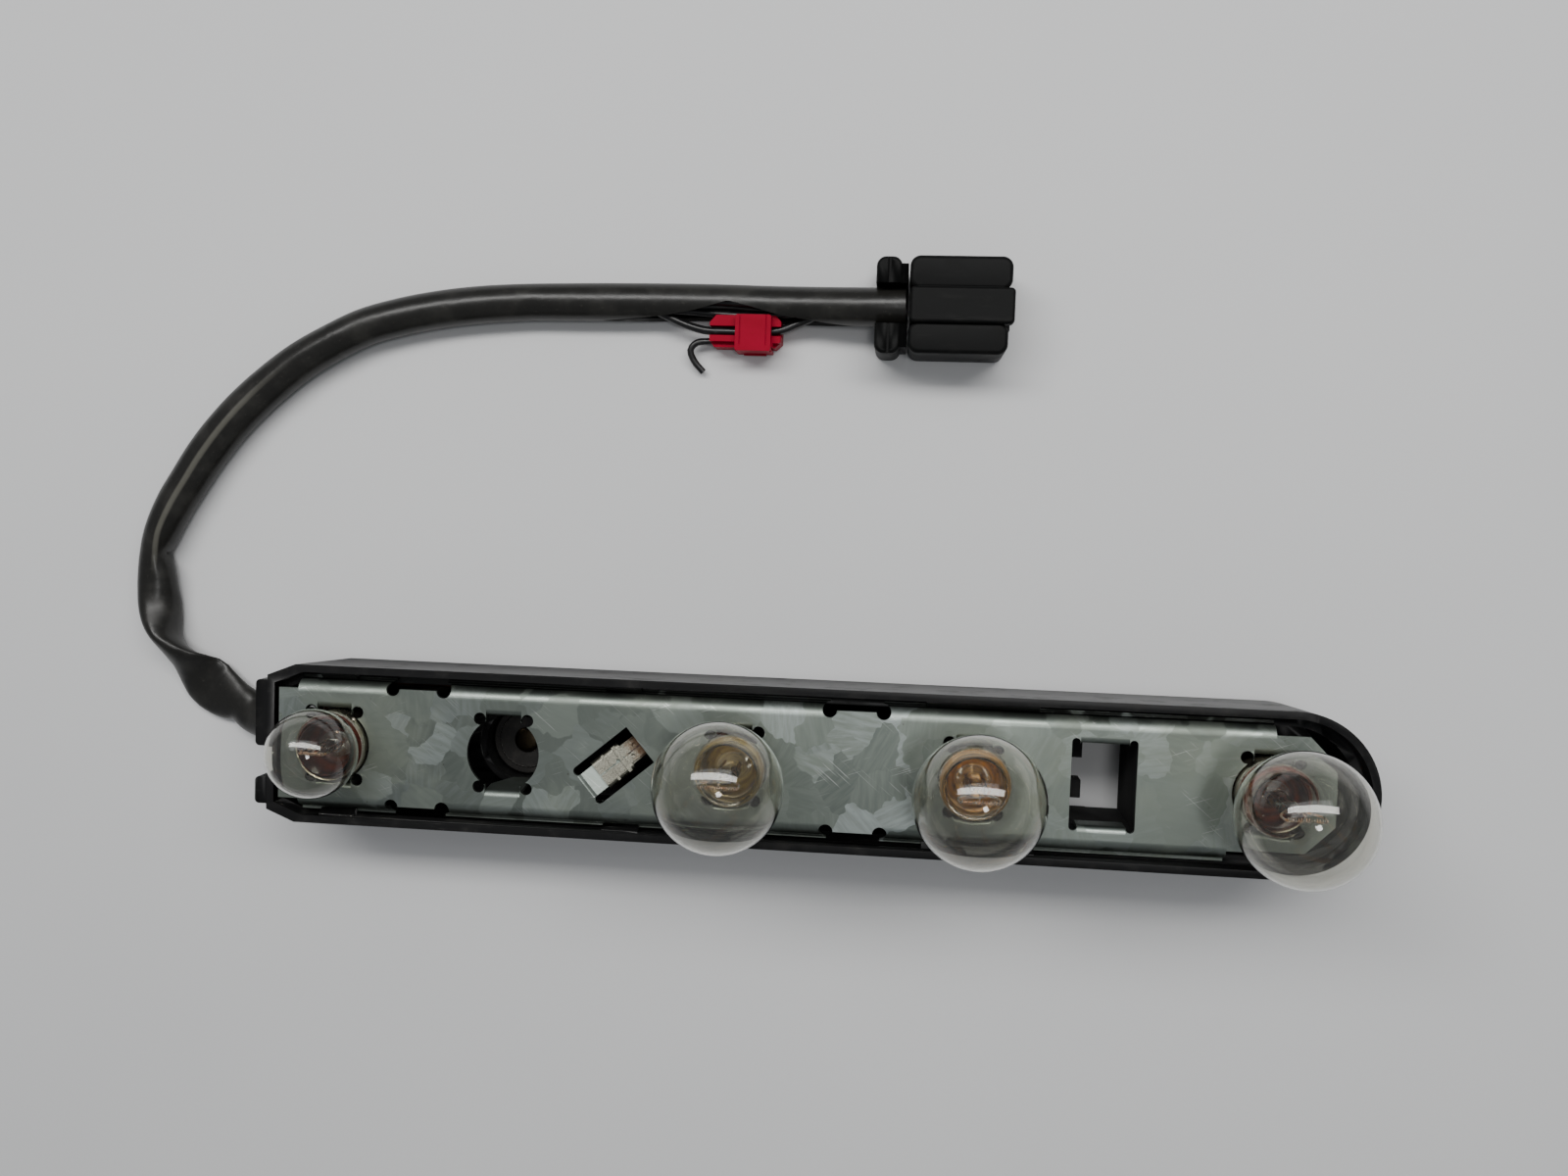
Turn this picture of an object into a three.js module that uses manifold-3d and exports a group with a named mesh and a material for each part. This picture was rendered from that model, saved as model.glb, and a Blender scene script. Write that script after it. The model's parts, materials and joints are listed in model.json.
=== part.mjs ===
// Bulb carrier of a vehicle's rear lamp: a black moulded tray that holds a galvanised ground plate
// with five bayonet sockets, four bulbs, sprung contacts, and a sleeved harness with its plug.
// Millimetres, +Z up. The origin is on the base, under the middle of the tray and its end tabs.
// +X runs along the tray towards its rounded end, and the harness leaves at the other end.
import * as THREE from 'three';
import { mergeVertices } from 'three/addons/utils/BufferGeometryUtils.js';
import Module from 'manifold-3d';

const wasm = await Module();
wasm.setup();

// ---- driving dimensions -----------------------------------------------------------------------
const GAP = 0.3; // kept between pieces that rest on or sit in each other

// tray
const TRAY_WIDTH = 34; // across the rim
const TRAY_DRAFT = 1.3; // the base is this much narrower on each side
const TRAY_WALL = 1.6; // at the rim
const TRAY_FLOOR = 1.6;
const RIM_ABOVE_PLATE = 0.5;
const PLATE_LEVEL = 24; // top face of the ground plate above the base
const LEDGE_WIDTH = 2; // the plate's lips lie on this step inside the wall
const END_CHAMFER = [6.2, 2.5]; // square end's corners, along X and Y
const TAB_REACH = 2.7; // end tabs beyond the end wall
const TAB_TOP_DROP = 0.3;
const TAB_HEIGHT = 11.5;
const TABS = [[-0.9, 13.4], [-13.4, -7.6]]; // [low y, high y] of each end tab
const HOOKS = [[11.3, 19], [73.1, 80.8], [140, 162.8]]; // from the end wall to each snap hook's two ends

// sockets, measured along the tray
const FIRST_SOCKET = 14.7; // from the end wall
const SOCKET_PITCHES = [37, 48.9, 49.4, 58.9];
const END_BEYOND_LAST = 3.9; // from the last socket to the centre of the rounded end
const BORE_CLEARANCE = 0.3; // bore radius over cap radius
const NOTCH_ANGLE = 54.7; // degrees from X to each of a bore's four notches
const NOTCH_RADIUS = 1.3;
const NOTCH_OUT = 1.1; // notch centre beyond the bore's edge
const WELL_CLEARANCE = 0.55; // well radius over cap radius
const WELL_WALL = 1.4;
const WELL_BELOW_PINS = 3.7; // top of each well under the bayonet pins

// ground plate
const SHEET = 0.8;
const PLATE_CLEARANCE = 0.8; // from the tray's wall to the plate's lips and its square end
const LIP_REACH = 0.8; // beyond the turned-down edge
const LIP_DROP = 2.8; // lip's top face below the plate's
const LIP_SHEET = 0.7;
const BEND_WIDTH = 1.2; // across each long bend
const END_STEP = 0.7; // both ends are this much narrower than the flat part, on each side
const FLANGE_END_INSET = 4.2; // from the plate's square end to its turned-down edges
const EAR_RADIUS = 1.5; // relief holes where a flange stops
const EAR_SPACING = 11.1;
const EAR_PLACES = [33, 125.8]; // from the end wall to the middle of each pair of ears
const PLATE_BEYOND_LAST = 12.8; // plate's end past the last socket
const PLATE_CORNER = 5.9; // its chamfer
const FLANGE_ENDS = [-8.2, 0.4]; // near and far flange's ends, from the last socket

// through window and its shaft
const WINDOW = { from: [19.4, 32.5], y: 8.4, flange: 5, ear: 0.85 }; // X is from the fourth socket
const SHAFT_CLEARANCE = 0.4;
const SHAFT_WALL = 1.2;
const LUGS = [[3.9, 8.6], [-4.6, -0.9]]; // [low y, high y] of the lugs on the shaft's wall
const LUG_REACH = 1.5;
const LUG_HEIGHTS = [10, 15];

// earth tongue: a blade cut from the plate, in a turned window
// its root is measured from the second socket
const TONGUE = { from: 17.9, y: -6.25, turn: 40.4, window: [15, 9.4], slot: 1.9, root: 0.6 };
const BLADE_LENGTH = 10;
const BLADE_SLOPE = 18; // degrees down from the plate
const SPADE = { start: 3.4, length: 6.8, wall: 0.4, crimp: 4.2, crimpHalf: 1.9 };

// bulbs: sizes from the bayonet pins
const CAP_RADIUS = 7.45;
const CAP_WALL = 0.5;
const CAP_BELOW_PINS = 5.2;
const CAP_ABOVE_PINS = 12.2;
const CONTACT_BELOW_PINS = 6.8;
const PIN_RADIUS = 1;
const PIN_REACH = 1.25; // beyond the cap's wall
const PIN_DEPTH = 9.7; // below the plate's top face
const NECK_CLEARANCE = 0.65; // glass neck to the inside of the cap
const GLASS_WALL = 0.7;
const LARGE = { globe: 12.7, centre: 31.4 };
const SMALL = { globe: 9.3, centre: 19.8 };
const BULBS = [SMALL, null, LARGE, LARGE, LARGE]; // the second socket is empty

// sprung contacts
const DISC_THICKNESS = 1;
const RIVET = { head: 2.8, shaft: 1.1, headHeight: 0.6, tail: 0.5 };
const SPRING = { inner: 3.2, outer: 5.2 };
const TERMINAL = { radius: 6.4, hole: 2.2, sheet: 0.5, tongue: 3 };

// wiring
const FEED_WIRE_RADIUS = 0.7;
const GROUND_WIRE_RADIUS = 0.9;
const WIRE_SPACING = 1.6;
const SLEEVE_RADIUS = 4.1;
const PORT = [0.9, 7.2]; // y and z of the harness port in the end wall
const PORT_CLEARANCE = 0.4;

// harness route on the surface that the carrier lies on, from the port to the plug; X from the end wall
const SLEEVE_ROUTE = [
  [1.3, 0.9, 7.2], [-2.9, 0.9, 6.9], [-7.9, 1.3, 5.6], [-13.2, 2.6, 4.5],
  [-18.8, 4.9, 4.2], [-24.3, 8.3, 4.2], [-28.7, 12.4, 4.2], [-32.2, 17.2, 4.2],
  [-35, 22.8, 4.2], [-36.9, 28.6, 4.2], [-37.9, 34.2, 4.2], [-38, 40, 4.2],
  [-37.2, 45.8, 4.2], [-35.4, 51.6, 4.2], [-32.8, 57.4, 4.2], [-29.2, 63.6, 4.2],
  [-24.6, 69.8, 4.2], [-19, 75.8, 4.2], [-12.4, 81.3, 4.2], [-5.1, 86, 4.2],
  [2.7, 89.8, 4.2], [11, 92.8, 4.2], [20, 95.3, 4.2], [29.2, 97.1, 4.2],
  [39.1, 98.3, 4.2], [49.2, 98.9, 4.2], [59.6, 99.2, 4.2], [70, 99.4, 4.2],
  [80.6, 99.6, 4.2], [91.6, 99.7, 4.2], [102.2, 99.5, 4.5], [112, 98.8, 5.5],
  [120.2, 97.9, 6.9], [126.6, 97.4, 7.8], [132.5, 97.3, 8],
];
const SLEEVE_STEPS = 60;

// tap splice beside the sleeve, [low, high] along each axis
const SPLICE = { x: [90.1, 105.7], y: [88.4, 95.2], z: [0.3, 6.3] };
const SPLICE_WIRE = { y: 91.8, z: 4.9, radius: 0.9, clearance: 0.4 };
const SPLICE_LID = { x: [95.9, 103.7], thickness: 1.4, lip: 0.7, lipLow: 0.8 };
const SPLICE_BLADE = { x: 99.8, thickness: 0.5, y: [89.4, 94.2], z: [2, 5.9] };
const STUB = { y: 89.9, z: 2.5, radius: 0.75, bore: 6 };
const STUB_ROUTE = [
  [95.7, 89.9, 2.5], [89.4, 89.9, 2.5], [86.7, 89.5, 2.7], [85.4, 87.9, 2.6], [86.2, 85.6, 2], [88.2, 83.3, 1.3],
];
const TAPPED_ROUTE = [
  [79.2, 94.2, 4.7], [84.6, 92.9, 4.8], [89.1, 91.9, 4.9], [93.6, 91.8, 4.9],
  [102.2, 91.8, 4.9], [106.6, 91.9, 4.9], [112.6, 92.4, 4.8], [116.8, 92.6, 4.8],
];

// plug
const PLUG = { x: [133.1, 154.3], y: [86.8, 107], z: [0.2, 15], corner: 2.4 };
const PLUG_BAND = { y: [93, 100.5], rise: 1, ahead: 0.6, behind: 0.2, corner: 0.9 };
const PLUG_CAP = { x: [126.1, 132.8], z: [0.2, 13.4], corner: 3.2 };
const PLUG_POCKET = { wall: 1.6, depth: 9 };
const INSERT = { back: 0.4, front: 1.2, hole: 1.5, pitch: [5.2, 5.4], depth: 6 };

// ---- sizes that follow ------------------------------------------------------------------------
const halfWidth = TRAY_WIDTH / 2;
const pitchSum = SOCKET_PITCHES.reduce((sum, pitch) => sum + pitch, 0);
const overallLength = TAB_REACH + FIRST_SOCKET + pitchSum + END_BEYOND_LAST + halfWidth;
const endWall = -overallLength / 2 + TAB_REACH;
const firstX = endWall + FIRST_SOCKET;
const socketX = SOCKET_PITCHES.reduce((places, pitch) => [...places, places.at(-1) + pitch], [firstX]);
const roundCentre = socketX.at(-1) + END_BEYOND_LAST;
const hookX = HOOKS.map((span) => span.map((x) => endWall + x));
const earX = EAR_PLACES.map((x) => endWall + x);
const windowX = WINDOW.from.map((x) => socketX[3] + x);
const flangeEnds = FLANGE_ENDS.map((x) => socketX.at(-1) + x);
const tongueAt = [socketX[1] + TONGUE.from, TONGUE.y];
const rimLevel = PLATE_LEVEL + RIM_ABOVE_PLATE;
const ledgeLevel = PLATE_LEVEL - LIP_DROP - LIP_SHEET - GAP;
const pocketHalf = halfWidth - TRAY_WALL;
const lipOut = pocketHalf - PLATE_CLEARANCE;
const flangeOut = lipOut - LIP_REACH;
const flatHalf = flangeOut - BEND_WIDTH;
const endHalf = flatHalf - END_STEP;
const neckRadius = CAP_RADIUS - CAP_WALL - NECK_CLEARANCE;
const cavityHalf = pocketHalf - LEDGE_WIDTH;
const boreRadius = CAP_RADIUS + BORE_CLEARANCE;
const wellRadius = CAP_RADIUS + WELL_CLEARANCE;
const wellOuter = wellRadius + WELL_WALL;
const pinLevel = PLATE_LEVEL - PIN_DEPTH;
const wellTop = pinLevel - WELL_BELOW_PINS;
const tabLow = pinLevel + PIN_RADIUS + GAP;
const wireLine = cavityHalf - FEED_WIRE_RADIUS - 2 * GAP;
const rivetTop = pinLevel - CONTACT_BELOW_PINS - GAP;
const discTop = rivetTop - RIVET.headHeight - GAP;
const discLow = discTop - DISC_THICKNESS;
const terminalTop = TRAY_FLOOR + GAP + TERMINAL.sheet;

// ---- making solids ----------------------------------------------------------------------------
// A geometry's closed surface, with shared corners merged and its faces turned outwards.
function solid(geometry) {
  const bare = new THREE.BufferGeometry();
  bare.setAttribute('position', geometry.getAttribute('position').clone());
  if (geometry.index) bare.setIndex(geometry.index.clone());
  const merged = mergeVertices(bare, 1e-4);
  const points = merged.getAttribute('position').array;
  const corners = [];
  for (let i = 0; i < merged.index.count; i += 3) {
    const [a, b, c] = [0, 1, 2].map((k) => merged.index.getX(i + k));
    if (a !== b && b !== c && c !== a) corners.push(a, b, c);
  }
  const corner = (i) => new THREE.Vector3().fromArray(points, 3 * corners[i]);
  let volume = 0;
  for (let i = 0; i < corners.length; i += 3) {
    volume += corner(i).dot(corner(i + 1).cross(corner(i + 2)));
  }
  if (volume < 0) corners.reverse();
  const mesh = new wasm.Mesh({
    numProp: 3,
    vertProperties: new Float32Array(points),
    triVerts: new Uint32Array(corners),
  });
  return new wasm.Manifold(mesh);
}

const join = (first, ...others) => others.reduce((whole, other) => whole.add(other), first);
const cut = (first, ...others) => others.reduce((whole, other) => whole.subtract(other), first);

function geometryOf(manifold) {
  const { numProp, vertProperties, triVerts } = manifold.getMesh();
  const points = new Float32Array((vertProperties.length / numProp) * 3);
  for (let i = 0; i < points.length / 3; i++) {
    for (let k = 0; k < 3; k++) points[3 * i + k] = vertProperties[numProp * i + k];
  }
  const geometry = new THREE.BufferGeometry();
  geometry.setAttribute('position', new THREE.BufferAttribute(points, 3));
  geometry.setIndex(Array.from(triVerts));
  geometry.computeVertexNormals();
  return geometry;
}

function block([x0, x1], [y0, y1], [z0, z1]) {
  const box = new THREE.BoxGeometry(x1 - x0, y1 - y0, z1 - z0);
  return solid(box.translate((x0 + x1) / 2, (y0 + y1) / 2, (z0 + z1) / 2));
}

// An outline in X and Y, from z0 up to z1. The lower face can be drawn in by the same amount all round.
function upright(outline, [z0, z1], drawIn = 0, arcSteps = 12) {
  const corners = () => outline.map((p) => new THREE.Vector2(...p));
  const shape = outline instanceof THREE.Shape ? outline : new THREE.Shape(corners());
  const geometry = new THREE.ExtrudeGeometry(shape, { depth: z1 - z0, bevelEnabled: false, curveSegments: arcSteps });
  if (drawIn) {
    geometry.computeBoundingBox();
    const centre = geometry.boundingBox.getCenter(new THREE.Vector3());
    const size = geometry.boundingBox.getSize(new THREE.Vector3());
    const points = geometry.getAttribute('position');
    for (let i = 0; i < points.count; i++) {
      if (points.getZ(i) > (z1 - z0) / 2) continue;
      points.setX(i, centre.x + (points.getX(i) - centre.x) * (1 - (2 * drawIn) / size.x));
      points.setY(i, centre.y + (points.getY(i) - centre.y) * (1 - (2 * drawIn) / size.y));
    }
  }
  return solid(geometry.translate(0, 0, z0));
}

// An outline of [y, z] points, from x0 to x1.
function lengthways(outline, [x0, x1]) {
  const shape = new THREE.Shape(outline.map((p) => new THREE.Vector2(...p)));
  const geometry = new THREE.ExtrudeGeometry(shape, { depth: x1 - x0, bevelEnabled: false });
  geometry.rotateX(Math.PI / 2).rotateZ(Math.PI / 2);
  return solid(geometry.translate(x0, 0, 0));
}

// A profile of [radius, z] points turned round the Z axis; it starts and ends on the axis, or closes.
function turned(profile, segments = 24) {
  const points = profile.map((p) => new THREE.Vector2(...p));
  return solid(new THREE.LatheGeometry(points, segments).rotateX(Math.PI / 2));
}

const rod = (radius, [z0, z1], segments = 16) => turned([[0, z0], [radius, z0], [radius, z1], [0, z1]], segments);

function ring(inner, outer, [z0, z1], segments = 12) {
  return turned([[inner, z0], [outer, z0], [outer, z1], [inner, z1], [inner, z0]], segments);
}

// A round section swept along a smooth curve through the points.
function tube(points, radius, sides, steps) {
  const path = new THREE.CatmullRomCurve3(points.map((p) => new THREE.Vector3(...p)), false, 'centripetal');
  const section = new THREE.Shape();
  for (let i = 0; i < sides; i++) {
    const turn = (2 * Math.PI * (i + 0.5)) / sides;
    const corner = [radius * Math.cos(turn), radius * Math.sin(turn)];
    if (i) section.lineTo(...corner);
    else section.moveTo(...corner);
  }
  return solid(new THREE.ExtrudeGeometry(section, { steps, extrudePath: path }));
}

// A rectangle in X and Y with rounded corners.
function rounded([x0, x1], [y0, y1], r) {
  const shape = new THREE.Shape();
  shape.moveTo(x0 + r, y0);
  shape.lineTo(x1 - r, y0).absarc(x1 - r, y0 + r, r, -Math.PI / 2, 0);
  shape.lineTo(x1, y1 - r).absarc(x1 - r, y1 - r, r, 0, Math.PI / 2);
  shape.lineTo(x0 + r, y1).absarc(x0 + r, y1 - r, r, Math.PI / 2, Math.PI);
  shape.lineTo(x0, y0 + r).absarc(x0 + r, y0 + r, r, Math.PI, 1.5 * Math.PI);
  return shape;
}

const finish = (color, roughness, metalness) => new THREE.MeshStandardMaterial({ color, roughness, metalness });
const finishes = {
  tray: finish(0x141414, 0.45, 0),
  zinc: finish(0x9aa09a, 0.35, 1),
  tin: finish(0xb9b6a6, 0.4, 1),
  brass: finish(0xa89a6a, 0.35, 1),
  steel: finish(0x8d8f92, 0.35, 1),
  fibre: finish(0x1d1a17, 0.6, 0),
  glass: finish(0xe8ebe6, 0.05, 0),
  capBase: finish(0x17151a, 0.25, 0),
  filament: finish(0x8a8580, 0.4, 1),
  brownWire: finish(0x4a2413, 0.5, 0),
  blackWire: finish(0x101010, 0.45, 0),
  sleeve: finish(0x2c2c2a, 0.5, 0),
  splice: finish(0xb0122c, 0.35, 0),
  plug: finish(0x0e0f0f, 0.55, 0),
};

const carrier = new THREE.Group();
function place(name, manifold, material, group = carrier) {
  const mesh = new THREE.Mesh(geometryOf(manifold), finishes[material]);
  mesh.name = name;
  group.add(mesh);
}

// ---- tray -------------------------------------------------------------------------------------
// The tray's outline, drawn in by an inset: square with cut corners at one end, round at the other.
function trayOutline(inset, wall = inset) {
  const half = halfWidth - inset;
  const [cutX, cutY] = END_CHAMFER;
  const low = endWall + wall;
  const shape = new THREE.Shape();
  shape.moveTo(low, half - cutY);
  shape.lineTo(low, -half + cutY);
  shape.lineTo(low + cutX, -half);
  shape.lineTo(roundCentre, -half);
  shape.absarc(roundCentre, 0, half, -Math.PI / 2, Math.PI / 2);
  shape.lineTo(low + cutX, half);
  return shape;
}

function windowShaft(grow, heights) {
  const reach = SHAFT_CLEARANCE + grow;
  const half = WINDOW.y + SHEET + reach;
  return block([windowX[0] - reach, windowX[1] + reach], [-half, half], heights);
}

function hook([x0, x1], side) {
  const heights = [PLATE_LEVEL - LIP_DROP + GAP + 0.1, PLATE_LEVEL - 0.6];
  const reach = [flangeOut + GAP, pocketHalf + 0.4].map((y) => side * y).sort((a, b) => a - b);
  return block([x0, x1], reach, heights);
}

function tray() {
  let body = upright(trayOutline(0), [0, rimLevel], TRAY_DRAFT, 10);
  body = cut(body, upright(trayOutline(halfWidth - pocketHalf, TRAY_WALL), [ledgeLevel, rimLevel + 1]));
  body = cut(body, upright(trayOutline(halfWidth - cavityHalf, TRAY_WALL), [TRAY_FLOOR, rimLevel]));
  for (const x of socketX) {
    const slot = block([-TERMINAL.tongue / 2 - GAP, TERMINAL.tongue / 2 + GAP], [-wellOuter - 1, 0],
      [TRAY_FLOOR, terminalTop + 2 * GAP]);
    const well = cut(ring(wellRadius, wellOuter, [TRAY_FLOOR - 0.5, wellTop], 16), slot);
    body = join(body, cut(well, rod(wellRadius - 1, [0, TRAY_FLOOR])).translate([x, 0, 0]));
  }
  const shaftTop = PLATE_LEVEL - SHEET - GAP;
  body = join(body, windowShaft(SHAFT_WALL, [TRAY_FLOOR - 0.5, shaftTop]));
  body = cut(body, windowShaft(0, [-1, rimLevel]));
  const shaftWall = windowX[0] - SHAFT_CLEARANCE;
  for (const lug of LUGS) {
    body = join(body, block([shaftWall - 0.4, windowX[0] + LUG_REACH], lug, LUG_HEIGHTS));
  }
  for (const span of hookX) {
    for (const side of [-1, 1]) body = join(body, hook(span, side));
  }
  const tabHeights = [rimLevel - TAB_TOP_DROP - TAB_HEIGHT, rimLevel - TAB_TOP_DROP];
  for (const span of TABS) {
    body = join(body, block([endWall - TAB_REACH, endWall + TRAY_WALL - 0.1], span, tabHeights));
  }
  const port = rod(SLEEVE_RADIUS + PORT_CLEARANCE, [-TAB_REACH - 1, TRAY_WALL + 1]).rotate([0, 90, 0]);
  return cut(body, port.translate([endWall, ...PORT]));
}
place('tray', tray(), 'tray');

// ---- ground plate -----------------------------------------------------------------------------
const plateEnds = [endWall + TRAY_WALL + PLATE_CLEARANCE, socketX.at(-1) + PLATE_BEYOND_LAST];
const flangeStart = plateEnds[0] + FLANGE_END_INSET;
const sheetHeights = [PLATE_LEVEL - SHEET, PLATE_LEVEL];
const throughPlate = [PLATE_LEVEL - 12, PLATE_LEVEL + 2];

// Where the turned-down edge runs: up to each pair of ears, and on from it.
function flangeSpans(end) {
  const stops = earX.flatMap((x) => [x - EAR_SPACING / 2, x + EAR_SPACING / 2]);
  const ends = [flangeStart, ...stops, end];
  return [0, 2, 4].map((i) => [ends[i], ends[i + 1]]);
}

function flange(span, side) {
  const [top, low] = [PLATE_LEVEL, PLATE_LEVEL - LIP_DROP];
  const inner = flangeOut - LIP_SHEET;
  const outline = [
    [flatHalf - 0.5, top], [flatHalf, top], [flatHalf + 0.75, top - 0.3],
    [flangeOut, top - 1.3], [flangeOut, low], [lipOut, low], [lipOut, low - LIP_SHEET],
    [inner, low - LIP_SHEET], [inner, top - 1.4], [flatHalf, top - SHEET], [flatHalf - 0.5, top - SHEET],
  ];
  return lengthways(outline.map(([y, z]) => [side * y, z]), span);
}

function socketCutters() {
  const notchAt = boreRadius + NOTCH_OUT;
  const turn = THREE.MathUtils.degToRad(NOTCH_ANGLE);
  const across = notchAt * Math.cos(turn);
  const along = notchAt * Math.sin(turn);
  const cutters = [rod(boreRadius, throughPlate, 20)];
  const slotHalf = across - GAP;
  cutters.push(block([-slotHalf, slotHalf], [-boreRadius - 0.15, boreRadius + 0.15], throughPlate));
  for (const sx of [-1, 1]) {
    for (const sy of [-1, 1]) {
      cutters.push(rod(NOTCH_RADIUS, throughPlate, 8).translate([sx * across, sy * along, 0]));
    }
  }
  return { cutters, tabHalf: across - NOTCH_RADIUS };
}

// The blade and its window are drawn along +X from the blade's root, then turned and moved.
const toTongue = (piece) => piece.rotate([0, 0, TONGUE.turn]).translate([...tongueAt, 0]);
const toBlade = (piece) => toTongue(piece.rotate([0, BLADE_SLOPE, 0]).translate([TONGUE.root, 0, PLATE_LEVEL]));
const bladeHalf = TONGUE.window[1] / 2 - TONGUE.slot;

function tongueWindow() {
  const [length, width] = TONGUE.window;
  const half = width / 2;
  const slots = [-1, 1].map((side) => {
    const middle = side * (half - TONGUE.slot / 2);
    const round = rod(TONGUE.slot / 2, throughPlate, 10).translate([TONGUE.slot / 2, middle, 0]);
    return join(block([TONGUE.slot / 2, length], [middle - TONGUE.slot / 2, middle + TONGUE.slot / 2], throughPlate), round);
  });
  return toTongue(join(block([TONGUE.root + 0.4, length], [-half + 0.1, half - 0.1], throughPlate), ...slots));
}

function plate() {
  const end = plateEnds[1];
  const [x0, x1] = [flangeStart, end - PLATE_CORNER];
  const outline = [
    [plateEnds[0], -endHalf], [x0, -endHalf], [x1, -endHalf], [end, PLATE_CORNER - endHalf],
    [end, endHalf - PLATE_CORNER], [x1, endHalf], [x0, endHalf], [plateEnds[0], endHalf],
  ];
  let sheet = upright(outline, sheetHeights);
  sheet = join(sheet, block([x0, flangeEnds[0]], [-flatHalf, 0], sheetHeights));
  sheet = join(sheet, block([x0, flangeEnds[1]], [0, flatHalf], sheetHeights));
  flangeSpans(flangeEnds[0]).forEach((span) => { sheet = join(sheet, flange(span, -1)); });
  flangeSpans(flangeEnds[1]).forEach((span) => { sheet = join(sheet, flange(span, 1)); });
  for (const middle of earX) {
    for (const side of [-1, 1]) {
      for (const sy of [-1, 1]) {
        const ear = rod(EAR_RADIUS, throughPlate, 8);
        sheet = cut(sheet, ear.translate([middle + (side * EAR_SPACING) / 2, sy * flatHalf, 0]));
      }
    }
  }
  const { cutters, tabHalf } = socketCutters();
  const catchY = [boreRadius + 0.15, boreRadius + 0.15 + SHEET];
  for (const x of socketX) {
    sheet = cut(sheet, ...cutters.map((cutter) => cutter.translate([x, 0, 0])));
    for (const side of [-1, 1]) {
      const span = catchY.map((y) => side * y).sort((a, b) => a - b);
      sheet = join(sheet, block([x - tabHalf, x + tabHalf], span, [tabLow, PLATE_LEVEL - 0.2]));
    }
  }
  sheet = cut(sheet, block(windowX, [-WINDOW.y, WINDOW.y], throughPlate));
  const cornerX = [windowX[0] + WINDOW.ear, windowX[1] - WINDOW.ear];
  for (const side of [-1, 1]) {
    const span = [WINDOW.y, WINDOW.y + SHEET].map((y) => side * y).sort((a, b) => a - b);
    const inset = 2 * WINDOW.ear;
    const corners = cornerX.map((x) => rod(WINDOW.ear, throughPlate, 8).translate([x, side * (WINDOW.y + 0.2), 0]));
    sheet = cut(sheet, ...corners);
    const flangeX = [windowX[0] + inset, windowX[1] - inset];
    sheet = join(sheet, block(flangeX, span, [PLATE_LEVEL - WINDOW.flange, PLATE_LEVEL - 0.2]));
  }
  sheet = cut(sheet, tongueWindow());
  const blade = toBlade(block([0, BLADE_LENGTH], [-bladeHalf, bladeHalf], [-SHEET, 0]));
  return join(sheet, blade);
}
place('ground_plate', plate(), 'zinc');

// ---- earth terminal on the blade --------------------------------------------------------------
function earthTerminal() {
  const { start, length, wall, crimp, crimpHalf } = SPADE;
  const inner = [bladeHalf + GAP, GAP];
  const half = inner[0] + wall;
  const low = -SHEET - inner[1];
  const shell = block([start, start + length], [-half, half], [low - wall, inner[1] + wall]);
  const bore = block([start - 1, BLADE_LENGTH + 2 * GAP], [-inner[0], inner[0]], [low, inner[1]]);
  const seam = block([start - 1, start + length + 1], [-GAP, GAP], [0, 3]);
  const neck = block([start + length - 0.5, start + length + crimp], [-crimpHalf, crimpHalf], [low - wall, inner[1] + wall]);
  return toBlade(cut(join(shell, neck), bore, seam));
}
place('earth_terminal', earthTerminal(), 'tin');

// ---- sprung contacts --------------------------------------------------------------------------
socketX.forEach((x, i) => {
  const group = new THREE.Group();
  group.position.x = x;
  carrier.add(group);
  const k = i + 1;
  const { radius, hole, sheet, tongue } = TERMINAL;
  const floor = [terminalTop - sheet, terminalTop];
  const strap = block([-tongue / 2, tongue / 2], [-wireLine - FEED_WIRE_RADIUS, -hole - 1], floor);
  place(`feed_terminal_${k}`, join(ring(hole, radius, floor), strap), 'brass', group);
  place(`contact_spring_${k}`, ring(SPRING.inner, SPRING.outer, [terminalTop + 0.2, discLow - 0.2]), 'steel', group);
  place(`contact_disc_${k}`, ring(RIVET.shaft + GAP, wellRadius - GAP, [discLow, discTop]), 'fibre', group);
  const { head, shaft, headHeight, tail } = RIVET;
  const rivet = [
    [0, discLow - tail], [shaft, discLow - tail], [shaft, rivetTop - headHeight], [head, rivetTop - headHeight],
    [head, rivetTop - 0.2], [head - 0.5, rivetTop], [0, rivetTop],
  ];
  place(`contact_rivet_${k}`, turned(rivet, 10), 'brass', group);
});

// ---- bulbs, drawn from their pins' level ------------------------------------------------------
function glassShell({ globe, centre }) {
  const low = CAP_ABOVE_PINS - 4;
  const waist = Math.asin(neckRadius / globe);
  const half = (radius, from) => {
    const arc = [];
    const steps = 7;
    for (let i = 0; i <= steps; i++) {
      const turn = from + ((Math.PI - from) * i) / steps;
      arc.push([radius * Math.sin(turn), centre - radius * Math.cos(turn)]);
    }
    arc[steps][0] = 0;
    return arc;
  };
  const outer = half(globe, waist);
  const inner = half(globe - GLASS_WALL, Math.asin((neckRadius - GLASS_WALL) / (globe - GLASS_WALL)));
  const profile = [...inner.reverse(), [neckRadius - GLASS_WALL, low], [neckRadius, low], ...outer];
  return turned(profile, 16);
}

function capShell() {
  const inner = CAP_RADIUS - CAP_WALL;
  const lip = inner - 1.3;
  const low = -CAP_BELOW_PINS;
  const profile = [
    [lip, low], [CAP_RADIUS - 0.4, low], [CAP_RADIUS, low + 0.5], [CAP_RADIUS, CAP_ABOVE_PINS],
    [inner, CAP_ABOVE_PINS], [inner, low + CAP_WALL], [lip, low + CAP_WALL], [lip, low],
  ];
  const pin = rod(PIN_RADIUS, [inner, CAP_RADIUS + PIN_REACH], 8);
  const shell = turned(profile, 16);
  return join(shell, pin.rotate([90, 0, 0]), pin.rotate([-90, 0, 0]));
}

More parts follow.
